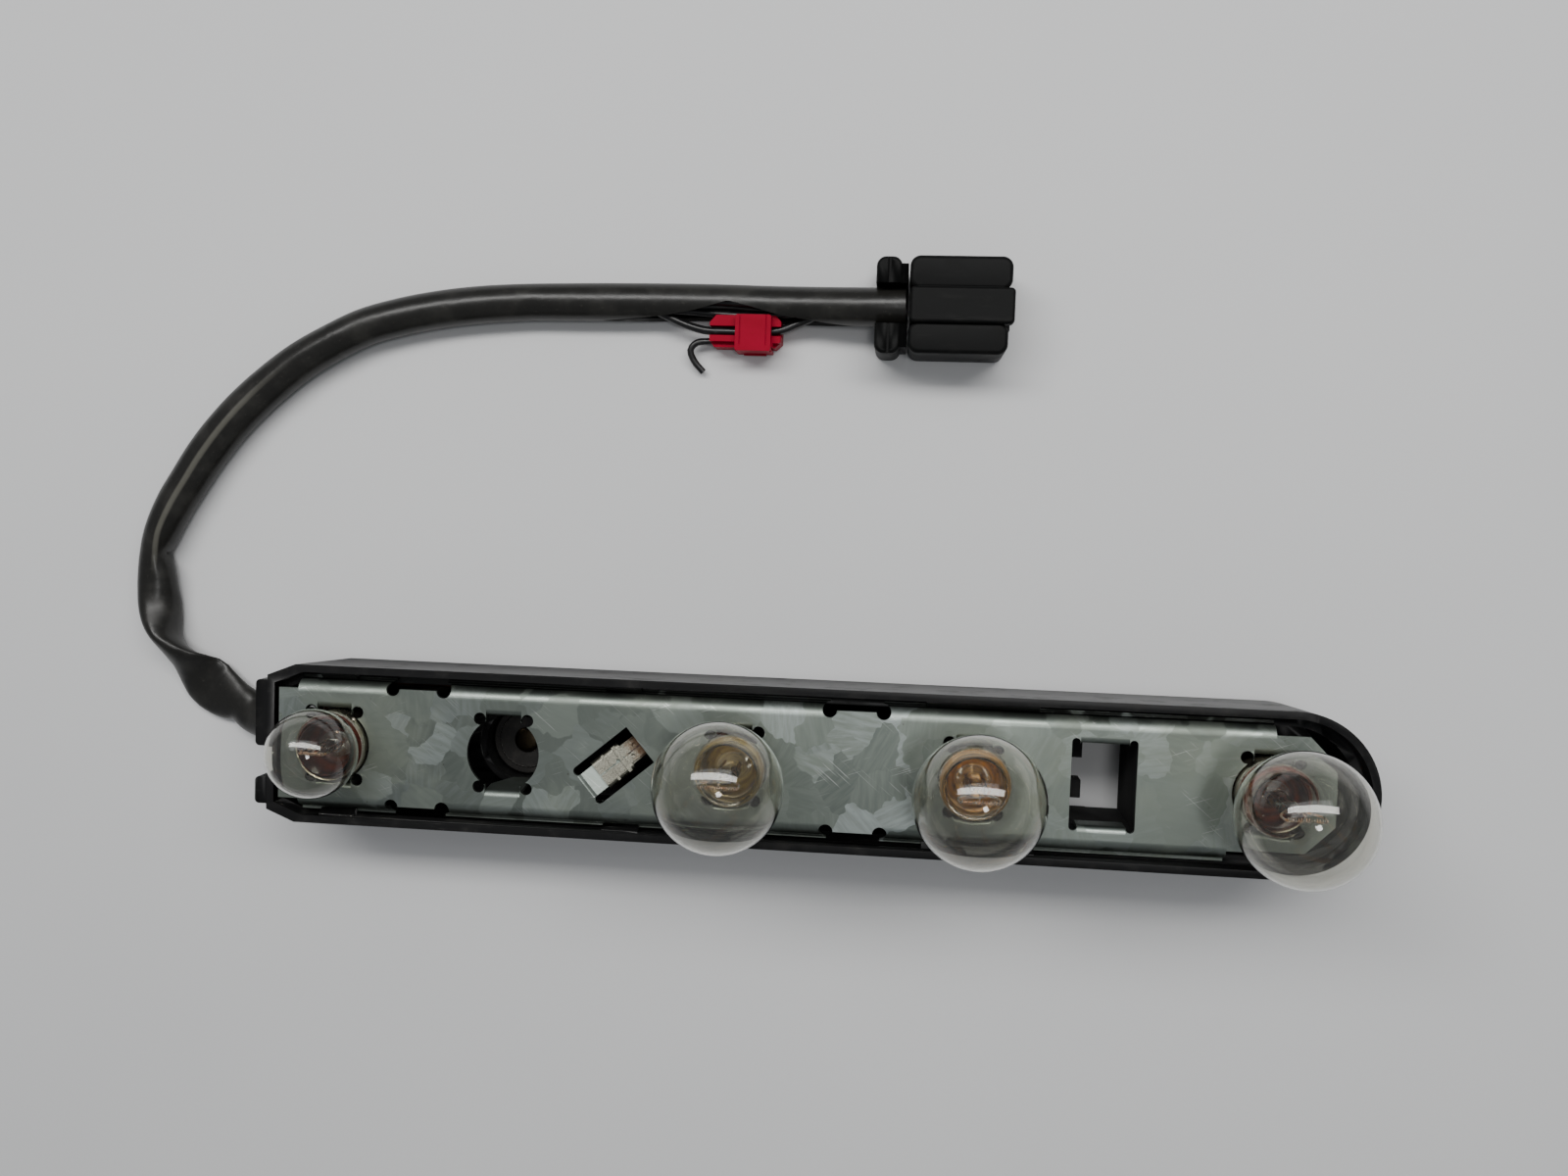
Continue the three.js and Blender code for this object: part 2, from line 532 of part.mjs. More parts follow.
function capContact() {
  const inner = CAP_RADIUS - CAP_WALL - GAP;
  const boss = CAP_RADIUS - CAP_WALL - 1.3 - GAP;
  const ledge = -CAP_BELOW_PINS + CAP_WALL + GAP;
  const end = -CONTACT_BELOW_PINS;
  const profile = [
    [0, end], [1.5, end], [2.2, end + 0.5], [2.2, end + 0.7], [boss - 1.4, end + 0.7], [boss, -CAP_BELOW_PINS],
    [boss, ledge], [inner, ledge], [inner, ledge + 1.2], [0, ledge + 1.2],
  ];
  return turned(profile, 12);
}

// The glass stem with its two supports and the filament between them.
function stemAndFilament({ centre, globe }) {
  const low = CAP_ABOVE_PINS - 6;
  const press = centre - 0.72 * globe;
  const stem = turned([[0, low], [3.4, low], [3.4, low + 1], [1.9, press], [0, press]], 10);
  const spread = globe * 0.3;
  const support = (side) => block([side * spread - 0.4, side * spread + 0.4], [-0.4, 0.4], [press - 1, centre]);
  const foot = block([-spread - 0.4, spread + 0.4], [-0.5, 0.5], [press - 1.2, press - 0.2]);
  const filament = block([-spread, spread], [-0.45, 0.45], [centre - 0.9, centre]);
  return join(stem, foot, support(-1), support(1), filament);
}

BULBS.forEach((bulb, i) => {
  if (!bulb) return;
  const group = new THREE.Group();
  group.position.set(socketX[i], 0, pinLevel);
  carrier.add(group);
  const k = i + 1;
  place(`bulb_glass_${k}`, glassShell(bulb), 'glass', group);
  place(`bulb_cap_${k}`, capShell(), 'brass', group);
  place(`bulb_contact_${k}`, capContact(), 'capBase', group);
  place(`bulb_filament_${k}`, stemAndFilament(bulb), 'filament', group);
});

// ---- wiring inside the tray -------------------------------------------------------------------
// Every wire leaves the sleeve's end, goes round the first well, and runs on along the tray's side.
const sleeveEnd = endWall + TRAY_WALL + GAP;

function roundFirstWell(wireRadius, side, line, level) {
  const away = wellOuter + wireRadius + 2 * GAP;
  const turns = [166, 140, 115].map((turn) => THREE.MathUtils.degToRad(turn));
  const points = turns.map((turn) => [firstX + away * Math.cos(turn), side * away * Math.sin(turn), level]);
  return [[sleeveEnd + GAP, PORT[0] + side * 1.7, level], ...points, [firstX - 1, side * line, level]];
}

socketX.forEach((x, i) => {
  const level = PORT[1] + (i - 2) * WIRE_SPACING;
  const run = roundFirstWell(FEED_WIRE_RADIUS, -1, wireLine, level);
  if (i) run.push([firstX + 6, -wireLine, level], [x - 7, -wireLine, level], [x - 5, -wireLine, level]);
  run.push([x + 1, -wireLine, terminalTop + FEED_WIRE_RADIUS + 2 * GAP]);
  place(`feed_wire_${i + 1}`, tube(run, FEED_WIRE_RADIUS, 6, i ? 20 : 12), 'blackWire');
});

function groundWire() {
  const slope = THREE.MathUtils.degToRad(BLADE_SLOPE);
  const turn = THREE.MathUtils.degToRad(TONGUE.turn);
  const crimpEnd = SPADE.start + SPADE.length + SPADE.crimp + GAP;
  const reach = TONGUE.root + crimpEnd * Math.cos(slope);
  const [x, y] = [tongueAt[0] + reach * Math.cos(turn), tongueAt[1] + reach * Math.sin(turn)];
  const z = PLATE_LEVEL - SHEET / 2 - crimpEnd * Math.sin(slope);
  const side = cavityHalf - GROUND_WIRE_RADIUS - 2 * GAP;
  const level = PORT[1];
  const points = [
    [x, y, z], [x + 1.6, y + 1.6, z - 0.7], [x + 2.2, y + 4.2, z - 2], [x + 0.4, side - 1.2, z - 3.4],
    [x - 4, side, z - 4.6], [x - 10, side, level], [socketX[1], side, level], [firstX + 6, side, level],
    ...roundFirstWell(GROUND_WIRE_RADIUS, 1, side, level).reverse(),
  ];
  return tube(points, GROUND_WIRE_RADIUS, 6, 30);
}
place('ground_wire', groundWire(), 'brownWire');

// ---- harness ----------------------------------------------------------------------------------
const harness = new THREE.Group();
harness.position.x = endWall;
carrier.add(harness);

place('harness_sleeve', tube(SLEEVE_ROUTE, SLEEVE_RADIUS, 8, SLEEVE_STEPS), 'sleeve', harness);

function spliceBody() {
  const { x, y, z } = SPLICE;
  const channel = SPLICE_WIRE.radius + SPLICE_WIRE.clearance;
  const wireWay = block([x[0] - 1, x[1] + 1], [SPLICE_WIRE.y - channel, SPLICE_WIRE.y + channel],
    [SPLICE_WIRE.z - channel, z[1] + 1]);
  const tapWay = rod(STUB.radius + GAP, [0, STUB.bore], 8).rotate([0, 90, 0]).translate([x[0] - 0.1, STUB.y, STUB.z]);
  const { x: bladeX, thickness, y: bladeY, z: bladeZ } = SPLICE_BLADE;
  const half = thickness / 2 + GAP;
  const bladeWay = block([bladeX - half, bladeX + half], [bladeY[0] - GAP, bladeY[1] + GAP], [bladeZ[0] - GAP, z[1] + 1]);
  return cut(block(x, y, z), wireWay, tapWay, bladeWay);
}
place('splice_body', spliceBody(), 'splice', harness);

function spliceLid() {
  const { x, thickness, lip, lipLow } = SPLICE_LID;
  const near = SPLICE.y[0] - GAP;
  const low = SPLICE.z[1] + GAP;
  const top = block(x, [near - lip, SPLICE.y[1]], [low, low + thickness]);
  return join(top, block(x, [near - lip, near], [lipLow, low + 0.1]));
}
place('splice_lid', spliceLid(), 'splice', harness);

function spliceBlade() {
  const { x, thickness, y, z } = SPLICE_BLADE;
  const half = SPLICE_WIRE.radius + GAP;
  const fork = block([x - 1, x + 1], [SPLICE_WIRE.y - half, SPLICE_WIRE.y + half], [SPLICE_WIRE.z - half, z[1] + 1]);
  return cut(block([x - thickness / 2, x + thickness / 2], y, z), fork);
}
place('splice_blade', spliceBlade(), 'tin', harness);
place('tapped_wire', tube(TAPPED_ROUTE, SPLICE_WIRE.radius, 6, 16), 'blackWire', harness);
place('tap_stub_wire', tube(STUB_ROUTE, STUB.radius, 6, 12), 'blackWire', harness);

// ---- plug -------------------------------------------------------------------------------------
const plugMiddle = [(PLUG.y[0] + PLUG.y[1]) / 2, (PLUG.z[0] + PLUG.z[1]) / 2];

function plugHousing() {
  const shell = upright(rounded(PLUG.x, PLUG.y, PLUG.corner), PLUG.z, 0, 3);
  const band = upright(
    rounded([PLUG.x[0] + PLUG_BAND.behind, PLUG.x[1] + PLUG_BAND.ahead], PLUG_BAND.y, PLUG_BAND.corner),
    [PLUG.z[1] - 3, PLUG.z[1] + PLUG_BAND.rise], 0, 2,
  );
  const { wall, depth } = PLUG_POCKET;
  const pocket = block([PLUG.x[1] - depth, PLUG.x[1] + 2], [PLUG.y[0] + wall, PLUG.y[1] - wall],
    [PLUG.z[0] + wall, PLUG.z[1] - wall]);
  return cut(join(shell, band), pocket);
}
place('plug_housing', plugHousing(), 'plug', harness);

function plugInsert() {
  const { wall, depth } = PLUG_POCKET;
  const { back, front, hole, pitch, depth: holeDepth } = INSERT;
  const inset = wall + GAP;
  const face = PLUG.x[1] - front;
  const body = block([PLUG.x[1] - depth + back, face], [PLUG.y[0] + inset, PLUG.y[1] - inset],
    [PLUG.z[0] + inset, PLUG.z[1] - inset]);
  const ways = [];
  for (const across of [-1, 0, 1]) {
    for (const up of [-0.5, 0.5]) {
      const way = rod(hole, [-holeDepth, 1], 8).rotate([0, 90, 0]);
      ways.push(way.translate([face, plugMiddle[0] + across * pitch[0], plugMiddle[1] + up * pitch[1]]));
    }
  }
  return cut(body, ...ways);
}
place('plug_insert', plugInsert(), 'plug', harness);

function plugRearCap() {
  const cap = upright(rounded(PLUG_CAP.x, PLUG.y, PLUG_CAP.corner), PLUG_CAP.z, 0, 3);
  const [, y, z] = SLEEVE_ROUTE.at(-1);
  const half = SLEEVE_RADIUS + PORT_CLEARANCE;
  return cut(cap, block([PLUG_CAP.x[0] - 1, PLUG_CAP.x[1] + 1], [y - half, y + half], [z - half, PLUG_CAP.z[1] + 1]));
}
place('plug_rear_cap', plugRearCap(), 'plug', harness);

export default carrier;
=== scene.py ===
"""Looks of a rear lamp's bulb carrier: a moulded tray with a galvanised ground plate, four bayonet
bulbs, sprung contacts, and a sleeved harness with its tap splice and plug.
Shapes are drawn in millimetres, and a piece is put in metres when it is finished."""
import json
import math

import bmesh
import bpy
import numpy as np
from mathutils import Euler, Matrix, Vector


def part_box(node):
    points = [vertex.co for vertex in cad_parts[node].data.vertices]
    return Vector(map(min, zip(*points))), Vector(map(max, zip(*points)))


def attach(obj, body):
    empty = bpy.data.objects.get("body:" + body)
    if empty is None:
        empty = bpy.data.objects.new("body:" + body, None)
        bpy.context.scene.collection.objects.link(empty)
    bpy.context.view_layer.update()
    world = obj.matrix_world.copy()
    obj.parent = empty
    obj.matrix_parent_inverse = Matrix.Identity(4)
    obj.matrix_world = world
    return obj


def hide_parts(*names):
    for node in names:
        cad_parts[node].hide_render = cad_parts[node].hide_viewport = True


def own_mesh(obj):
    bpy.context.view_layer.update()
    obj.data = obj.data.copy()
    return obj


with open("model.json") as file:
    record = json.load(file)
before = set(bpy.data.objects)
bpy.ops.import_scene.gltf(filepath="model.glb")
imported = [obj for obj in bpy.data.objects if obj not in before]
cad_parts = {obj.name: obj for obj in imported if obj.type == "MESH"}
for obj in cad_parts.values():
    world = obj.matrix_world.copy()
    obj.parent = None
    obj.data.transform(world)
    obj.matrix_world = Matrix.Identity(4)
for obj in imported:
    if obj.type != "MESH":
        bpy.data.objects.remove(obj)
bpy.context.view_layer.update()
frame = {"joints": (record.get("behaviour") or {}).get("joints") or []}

MM = 0.001


def box_mm(node):
    low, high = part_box(node)
    return np.array(low) / MM, np.array(high) / MM


def placed(name, data):
    """A new object in the scene."""
    made = bpy.data.objects.new(name, data)
    bpy.context.scene.collection.objects.link(made)
    return made


# ---- places taken from the frame ----------------------------------------------------------------
TRAY_LOW, TRAY_HIGH = box_mm("tray")
PLATE_LOW, PLATE_HIGH = box_mm("ground_plate")
PLATE_TOP = PLATE_HIGH[2]
PLATE_ENDS = (PLATE_LOW[0], PLATE_HIGH[0])
RIM = TRAY_HIGH[2]
HALF_WIDTH = TRAY_HIGH[1]
ROUND_CENTRE = TRAY_HIGH[0] - HALF_WIDTH
TAB_REACH = 2.7
END_WALL = TRAY_LOW[0] + TAB_REACH
SOCKETS = {k: sum(box_mm(f"contact_disc_{k}"))[0] / 2 for k in range(1, 6)}
WINDOW = (SOCKETS[4] + 19.4, SOCKETS[4] + 32.5)
BULBS = (1, 3, 4, 5)
JOINTS = {joint["name"]: joint for joint in frame["joints"]}
PIN_LEVEL = JOINTS["bulb_turn_1"]["pos_m"][2] / MM
GAP = 0.3


# ---- camera -------------------------------------------------------------------------------------
CAMERA_AT = (0.020678, 0.052174, 0.282005)
CAMERA_TURN = [math.radians(turn) for turn in (-3.0895, 5.4803, 1.9793)]
FOCAL_LENGTH = 29.115
SENSOR_WIDTH = 36


def make_camera():
    data = bpy.data.cameras.new("camera")
    data.sensor_width = SENSOR_WIDTH
    data.lens = FOCAL_LENGTH
    data.clip_start = 0.01
    camera = placed("camera", data)
    camera.matrix_world = Matrix.LocRotScale(Vector(CAMERA_AT), Euler(CAMERA_TURN), None)
    bpy.context.scene.camera = camera


make_camera()


# ---- materials ----------------------------------------------------------------------------------
def operator(name, swapped=False):
    def run(self, other):
        pair = (other, self) if swapped else (self, other)
        return self.owner.node("ShaderNodeMath", {"operation": name}, dict(enumerate(pair)))
    return run


class Signal:
    """A socket of a node tree, which adds Math nodes when it is worked with as a number."""

    def __init__(self, owner, socket):
        self.owner, self.socket = owner, socket

    __add__ = __radd__ = operator("ADD")
    __mul__ = __rmul__ = operator("MULTIPLY")
    __sub__, __rsub__ = operator("SUBTRACT"), operator("SUBTRACT", swapped=True)
    __pow__ = operator("POWER")

    def between(self, low, high):
        """0 up to low, 1 from high, and smooth in between; high may be the lower one."""
        sockets = {"Value": self, "From Min": low, "From Max": high}
        return self.owner.node("ShaderNodeMapRange", {"interpolation_type": "SMOOTHSTEP"}, sockets)


class Tree:
    """A node tree, with one way to add any node: its settings first, then its values and links."""

    def __init__(self, tree):
        self.tree = tree

    def node(self, kind, settings=None, sockets=None, out=0):
        made = self.tree.nodes.new(kind)
        for name, value in (settings or {}).items():
            if name == "stops":
                ramp = made.color_ramp.elements
                ramp[0].position, ramp[0].color = value[0][0], (*value[0][1], 1)
                ramp[1].position, ramp[1].color = value[-1][0], (*value[-1][1], 1)
                for position, shade in value[1:-1]:
                    ramp.new(position).color = (*shade, 1)
            else:
                setattr(made, name, value)
        for name, value in (sockets or {}).items():
            if isinstance(value, Signal):
                self.tree.links.new(value.socket, made.inputs[name])
            else:
                made.inputs[name].default_value = value
        return Signal(self, made.outputs[out]) if len(made.outputs) else None


class Finish(Tree):
    """A material made of nodes, on Object coordinates in millimetres."""

    def __init__(self, name, slot, **uniform):
        self.slot = slot
        self.material = bpy.data.materials.new(name)
        self.material.use_nodes = True
        super().__init__(self.material.node_tree)
        self.tree.nodes.clear()
        self.uniform = uniform
        self.place = self.vector("SCALE", self.node("ShaderNodeTexCoord", out="Object"), Scale=1 / MM)

    def vector(self, operation, first, second=(0, 0, 0), **sockets):
        return self.node("ShaderNodeVectorMath", {"operation": operation}, {0: first, 1: second, **sockets})

    def turned(self, angle):
        """The place, turned about the Z axis."""
        sockets = {"Vector": self.place, "Angle": angle}
        return self.node("ShaderNodeVectorRotate", {"rotation_type": "Z_AXIS"}, sockets)

    def noise(self, size, detail=3, rough=0.5, stretch=(1, 1, 1), place=None, out=0):
        """Soft patches about size millimetres across, longer where stretch is larger."""
        spot = self.vector("MULTIPLY", place or self.place, tuple(1 / (size * s) for s in stretch))
        sockets = {"Vector": spot, "Scale": 1.0, "Detail": detail, "Roughness": rough}
        return self.node("ShaderNodeTexNoise", {}, sockets, out)

    def cells(self, size, place=None, out="Distance"):
        spot = self.vector("SCALE", place or self.place, Scale=1 / size)
        return self.node("ShaderNodeTexVoronoi", {}, {"Vector": spot, "Scale": 1.0}, out)

    def axis(self, name, place=None):
        return self.node("ShaderNodeSeparateXYZ", {}, {0: place or self.place}, name)

    def blend(self, factor, first, second):
        """From the first colour to the second as factor goes from 0 to 1."""
        first, second = ((*c, 1) if isinstance(c, tuple) else c for c in (first, second))
        return self.node("ShaderNodeMix", {"data_type": "RGBA"}, {0: factor, 6: first, 7: second}, 2)

    def ramp(self, factor, *stops):
        return self.node("ShaderNodeValToRGB", {"stops": stops}, {0: factor})

    def bump(self, height, depth, strength=1.0, under=None):
        """Relief that is depth millimetres deep where height goes from 0 to 1."""
        sockets = {"Height": height, "Distance": depth * MM, "Strength": strength}
        return self.node("ShaderNodeBump", {}, {**sockets, "Normal": under} if under else sockets)

    def close(self, base, rough, relief=None, **varying):
        """Ends the material with its shader, from its uniform values and what varies over it."""
        values = {"Base_Color": base, "Roughness": rough, **self.uniform, **varying}
        if relief:
            values["Normal"] = relief
        sockets = {key.replace("_", " "): value for key, value in values.items()}
        shader = self.node("ShaderNodeBsdfPrincipled", {}, sockets)
        self.node("ShaderNodeOutputMaterial", {}, {"Surface": shader})
        return self


def galvanised_sheet():
    f = Finish("galvanised sheet", "galvanised_steel", Metallic=1.0)
    drift = f.vector("SUBTRACT", f.noise(5, 2, out="Color"), (0.5, 0.5, 0.5))
    warped = f.vector("ADD", f.place, f.vector("SCALE", drift, Scale=7))
    crystal = f.cells(7.5, f.vector("MULTIPLY", warped, (1, 1, 0.2)), out="Color")
    shade, lean, shine = (f.axis(name, crystal) for name in "XYZ")
    feather = f.noise(0.9, 3, 0.6, (7, 1, 1), f.turned(lean * math.pi))
    middle = (f.axis("X") - (SOCKETS[3] + SOCKETS[4]) / 2) * (1 / 20)
    strong = (1 - (middle ** 2).between(0.1, 1.6)) * 0.5 + f.noise(30, 2).between(0.42, 0.7) * 0.5
    pattern = (shade * 0.75 + feather.between(0.3, 0.7) * 0.25 - 0.5) * (strong * 0.62 + 0.13) + 0.5
    dark, grey, light = (0.11, 0.13, 0.12), (0.22, 0.25, 0.222), (0.44, 0.49, 0.49)
    base = f.ramp(pattern, (0.15, dark), (0.5, grey), (0.85, light))
    haze = f.noise(16, 4, 0.6).between(0.45, 0.75)
    base = f.blend(haze * 0.45, base, (0.25, 0.275, 0.222))
    scratch = f.noise(0.22, 1, 0.4, (60, 1, 4), f.turned(0.7)).between(0.68, 0.74)
    cross = f.noise(0.2, 1, 0.4, (45, 1, 4), f.turned(-0.35)).between(0.69, 0.75)
    lines = (scratch + cross) * f.noise(9, 2).between(0.5, 0.62)
    base = f.blend(lines * 0.5, base, (0.72, 0.74, 0.71))
    speck = f.cells(2.6).between(0.1, 0.04) * f.noise(6, 1).between(0.56, 0.66)
    stain = f.noise(2.2, 5, 0.7).between(0.66, 0.78)
    base = f.blend(speck * 0.75 + stain * 0.45, base, (0.09, 0.085, 0.07))
    # painted shade: the far lip, low down under the tray's wall, is darkened nearly to black in patches
    far_lip_in_shade = f.axis("Z").between(PLATE_TOP - 1.6, PLATE_TOP - 2.6) * f.axis("Y").between(0, 2)
    grime_and_painted_shade = far_lip_in_shade * (0.93 - f.noise(5, 2).between(0.6, 0.7) * 0.6)
    base = f.blend(grime_and_painted_shade, base, (0.016, 0.016, 0.015))
    rough = 0.36 + shine * 0.16 + haze * 0.14 + stain * 0.2 - lines * 0.08
    relief = f.bump(pattern + f.noise(0.5, 3) * 0.3, 0.02, 0.5, f.bump(f.noise(14, 2), 0.12, 0.6))
    return f.close(base, rough, relief)


def tray_moulding():
    f = Finish("black tray moulding", "tray_plastic", Specular_IOR_Level=0.26)
    dust = f.noise(6, 5, 0.65).between(0.5, 0.8)
    wipe = f.noise(1.6, 3, 0.5, (9, 1, 1)).between(0.55, 0.75)
    scuff = f.noise(0.35, 2, 0.5, (26, 1, 1)).between(0.66, 0.75) * f.noise(8, 1).between(0.5, 0.65)
    base = f.blend(dust * 0.6 + wipe * 0.15, (0.007, 0.007, 0.0072), (0.026, 0.025, 0.023))
    base = f.blend(scuff * 0.6, base, (0.07, 0.069, 0.066))
    in_shaft = ((f.axis("X") - sum(WINDOW) / 2) ** 2).between(80, 60) * (f.axis("Y") ** 2).between(130, 100)
    rough = 0.36 + dust * 0.2 + wipe * 0.06 + scuff * 0.12 + in_shaft * 0.5
    relief = f.bump(f.noise(0.18, 2), 0.006, 0.5, f.bump(f.noise(7, 2), 0.08, 0.5))
    return f.close(base, rough, relief)


def tinned_sheet(name, burnt=None):
    f = Finish(name, "tinned_steel", Metallic=1.0)
    grain = f.noise(0.16, 3, 0.7)
    speck = f.cells(0.42).between(0.2, 0.08) * f.noise(0.9, 2).between(0.45, 0.6)
    base = f.ramp(grain, (0.36, (0.045, 0.044, 0.035)), (0.64, (0.27, 0.265, 0.22)))
    rust = f.noise(1.5, 4, 0.7).between(0.6, 0.75)
    if burnt:
        x, y, turn = burnt
        along = (f.axis("X") - x) * math.cos(turn) + (f.axis("Y") - y) * math.sin(turn)
        rust = (along + f.noise(1.2, 3) * 5).between(13.2, 16.5) * 1.2
    base = f.blend(speck * 0.7, base, (0.10, 0.09, 0.07))
    base = f.blend(rust * 0.55, base, (0.15, 0.07, 0.032))
    rough = 0.3 + grain * 0.2 + rust * 0.25
    return f.close(base, rough, f.bump(grain - speck * 0.5, 0.02, 0.7))


def brass_sheet():
    f = Finish("contact brass", "contact_brass", Metallic=1.0)
    # painted shade: the brass is coloured near black so the rivet reads dark down in its socket; the noise
    # varies it in patches
    tarnish_and_socket_shade = f.noise(2.4, 4, 0.6).between(0.42, 0.7)
    base = f.blend(tarnish_and_socket_shade, (0.040, 0.030, 0.018), (0.014, 0.011, 0.008))
    rough = 0.36 + tarnish_and_socket_shade * 0.24
    return f.close(base, rough, f.bump(f.noise(0.3, 3), 0.01, 0.5))


def cap_plating():
    f = Finish("nickel plated cap", "cap_metal", Metallic=1.0)
    dull = f.noise(2.6, 4, 0.6).between(0.4, 0.7)
    drawn = f.noise(0.25, 2, 0.5, (1, 1, 30))
    base = f.blend(dull, (0.62, 0.59, 0.49), (0.37, 0.33, 0.24))
    spot = f.noise(0.7, 3, 0.6).between(0.64, 0.74)
    base = f.blend(spot * 0.6, base, (0.13, 0.10, 0.06))
    rough = 0.22 + dull * 0.2 + drawn * 0.08 + spot * 0.2
    return f.close(base, rough, f.bump(drawn, 0.008, 0.6))


def spring_wire():
    f = Finish("spring wire", "spring_steel", Metallic=1.0)
    drawn = f.noise(0.3, 3, 0.6)
    base = f.blend(drawn, (0.40, 0.40, 0.40), (0.62, 0.61, 0.58))
    return f.close(base, 0.24 + drawn * 0.18, f.bump(drawn, 0.006, 0.5))


def contact_fibre():
    f = Finish("contact disc fibre", "contact_fibre")
    weave = f.noise(0.25, 4, 0.7)
    worn = f.noise(2.2, 3).between(0.5, 0.7)
    base = f.blend(weave, (0.006, 0.0055, 0.005), (0.018, 0.016, 0.014))
    base = f.blend(worn * 0.4, base, (0.045, 0.040, 0.034))
    return f.close(base, 0.5 + weave * 0.2, f.bump(weave, 0.02, 0.6))


def globe_glass():
    f = Finish("bulb glass", "bulb_glass", IOR=1.47, Transmission_Weight=0.992)
    smear = f.noise(6, 4, 0.6, (1, 1, 0.6)).between(0.5, 0.8)
    dust = f.noise(0.4, 3, 0.6).between(0.68, 0.76)
    tint = f.blend(smear, (0.95, 0.945, 0.89), (0.86, 0.84, 0.76))
    rough = 0.01 + smear * 0.06 + dust * 0.2
    return f.close(tint, rough, f.bump(f.noise(9, 1), 0.03, 0.3))


def cap_insulator():
    f = Finish("black cap glass", "cap_glass", Coat_Roughness=0.08)
    flow = f.noise(1.2, 3)
    base = f.blend(flow, (0.012, 0.009, 0.014), (0.04, 0.03, 0.045))
    relief = f.bump(flow, 0.05, 0.5)
    return f.close(base, 0.16 + flow * 0.12, relief, Coat_Weight=0.3 + flow * 0.3)


def filament_wire():
    f = Finish("lead and filament wire", "filament_wire", Metallic=1.0)
    heat = f.noise(1.1, 3).between(0.35, 0.65)
    base = f.blend(heat, (0.50, 0.47, 0.43), (0.62, 0.36, 0.20))
    relief = f.bump(f.noise(0.2, 2), 0.01, 0.5)
    return f.close(base, 0.22 + heat * 0.14, relief)


def base_lining(number, light, dark, metal):
    """What shows through a globe down inside its cap: baked cement, with the metal round it."""
    f = Finish(f"cap lining {number}", "cap_metal", Specular_IOR_Level=0.3)
    rings = f.node("ShaderNodeTexWave", {"wave_type": "RINGS", "rings_direction": "Z"}, {
        "Vector": f.vector("SUBTRACT", f.place, (SOCKETS[number], 0, 0)), "Scale": 0.22,
        "Distortion": 2.0, "Detail": 2.0, "Detail Scale": 1.5}, "Fac")
    cloud = f.noise(2.4, 4, 0.6)
    soot = f.noise(3.1, 5, 0.7).between(0.55, 0.72)
    base = f.blend(rings * 0.45 + cloud * 0.6, dark, light)
    base = f.blend(soot * 0.7, base, (0.02, 0.014, 0.01))
    rough = 0.22 + cloud * 0.2 + soot * 0.2
    relief = f.bump(cloud + rings * 0.3, 0.15, 0.6)
    return f.close(base, rough, relief, Metallic=metal - soot * metal)


def wire_cover(name, slot, dark, light):
    f = Finish(name, slot, Specular_IOR_Level=0.5)
    dust = f.noise(2.4, 4, 0.6).between(0.45, 0.75)
    base = f.blend(dust * 0.8, dark, light)
    return f.close(base, 0.28 + dust * 0.25, f.bump(f.noise(1.2, 3), 0.04, 0.5))


def sleeve_cover():
    f = Finish("soft sleeve", "sleeve_pvc", Specular_IOR_Level=0.42)
    along = f.node("ShaderNodeAttribute", {"attribute_name": "run"}, {}, "Vector")
    streak = f.noise(1.1, 4, 0.6, (1, 30, 1), along)
    rub = f.noise(7, 4, 0.6).between(0.45, 0.72)
    grime_and_painted_shade = f.noise(0.8, 4, 0.7).between(0.6, 0.75)
    base = f.blend(rub * 0.6 + streak * 0.25, (0.0095, 0.0092, 0.0082), (0.024, 0.023, 0.020))
    base = f.blend(grime_and_painted_shade * 0.4, base, (0.075, 0.070, 0.058))
    run, round_it = (f.axis(name, along) for name in "XY")
    # painted highlight: a pale line along the top of the sleeve's fold, between about 57 and 122 mm along it
    fold_highlight = ((round_it - run * 0.0205 - 4.15) ** 2).between(0.55, 0.0)
    fold_highlight = fold_highlight * run.between(57, 66) * run.between(122, 98)
    base = f.blend(fold_highlight * 0.7, base, (0.115, 0.112, 0.094))
    rough = 0.27 + rub * 0.1 + streak * 0.05 + grime_and_painted_shade * 0.15
    relief = f.bump(streak, 0.03, 0.5, f.bump(f.noise(4, 3), 0.16, 0.6))
    return f.close(base, rough, relief)


def splice_nylon():
    f = Finish("red splice nylon", "splice_red", Specular_IOR_Level=0.06)
    flow = f.noise(2.2, 3, 0.5, (3, 1, 1))
    grime_and_painted_shade = f.noise(0.9, 4, 0.7).between(0.6, 0.75)
    base = f.blend(flow, (0.25, 0.0, 0.014), (0.33, 0.001, 0.024))
    base = f.blend(grime_and_painted_shade * 0.45, base, (0.16, 0.012, 0.016))
    return f.close(base, 0.34 + flow * 0.12 + grime_and_painted_shade * 0.15, f.bump(f.noise(0.25, 2), 0.01, 0.5))


def plug_moulding():
    f = Finish("matt plug moulding", "plug_plastic", IOR=1.18)
    grain = f.noise(0.14, 2)
    dust = f.noise(4, 5, 0.65).between(0.5, 0.8)
    rub = f.noise(1.4, 3, 0.5, (6, 1, 1)).between(0.6, 0.75)
    base = f.blend(dust * 0.6 + rub * 0.3, (0.0048, 0.005, 0.005), (0.013, 0.0128, 0.012))
    rough = 0.46 + dust * 0.18 - rub * 0.08
    relief = f.bump(grain, 0.012, 0.6, f.bump(f.noise(6, 2), 0.1, 0.5))
    return f.close(base, rough, relief)


def floor_finish():
    f = Finish("pale studio floor", "", Specular_IOR_Level=0.3)
    cloud = f.noise(120, 3)
    base = f.blend(cloud, (0.64, 0.644, 0.652), (0.70, 0.704, 0.708))
    return f.close(base, 0.55 + cloud * 0.1)


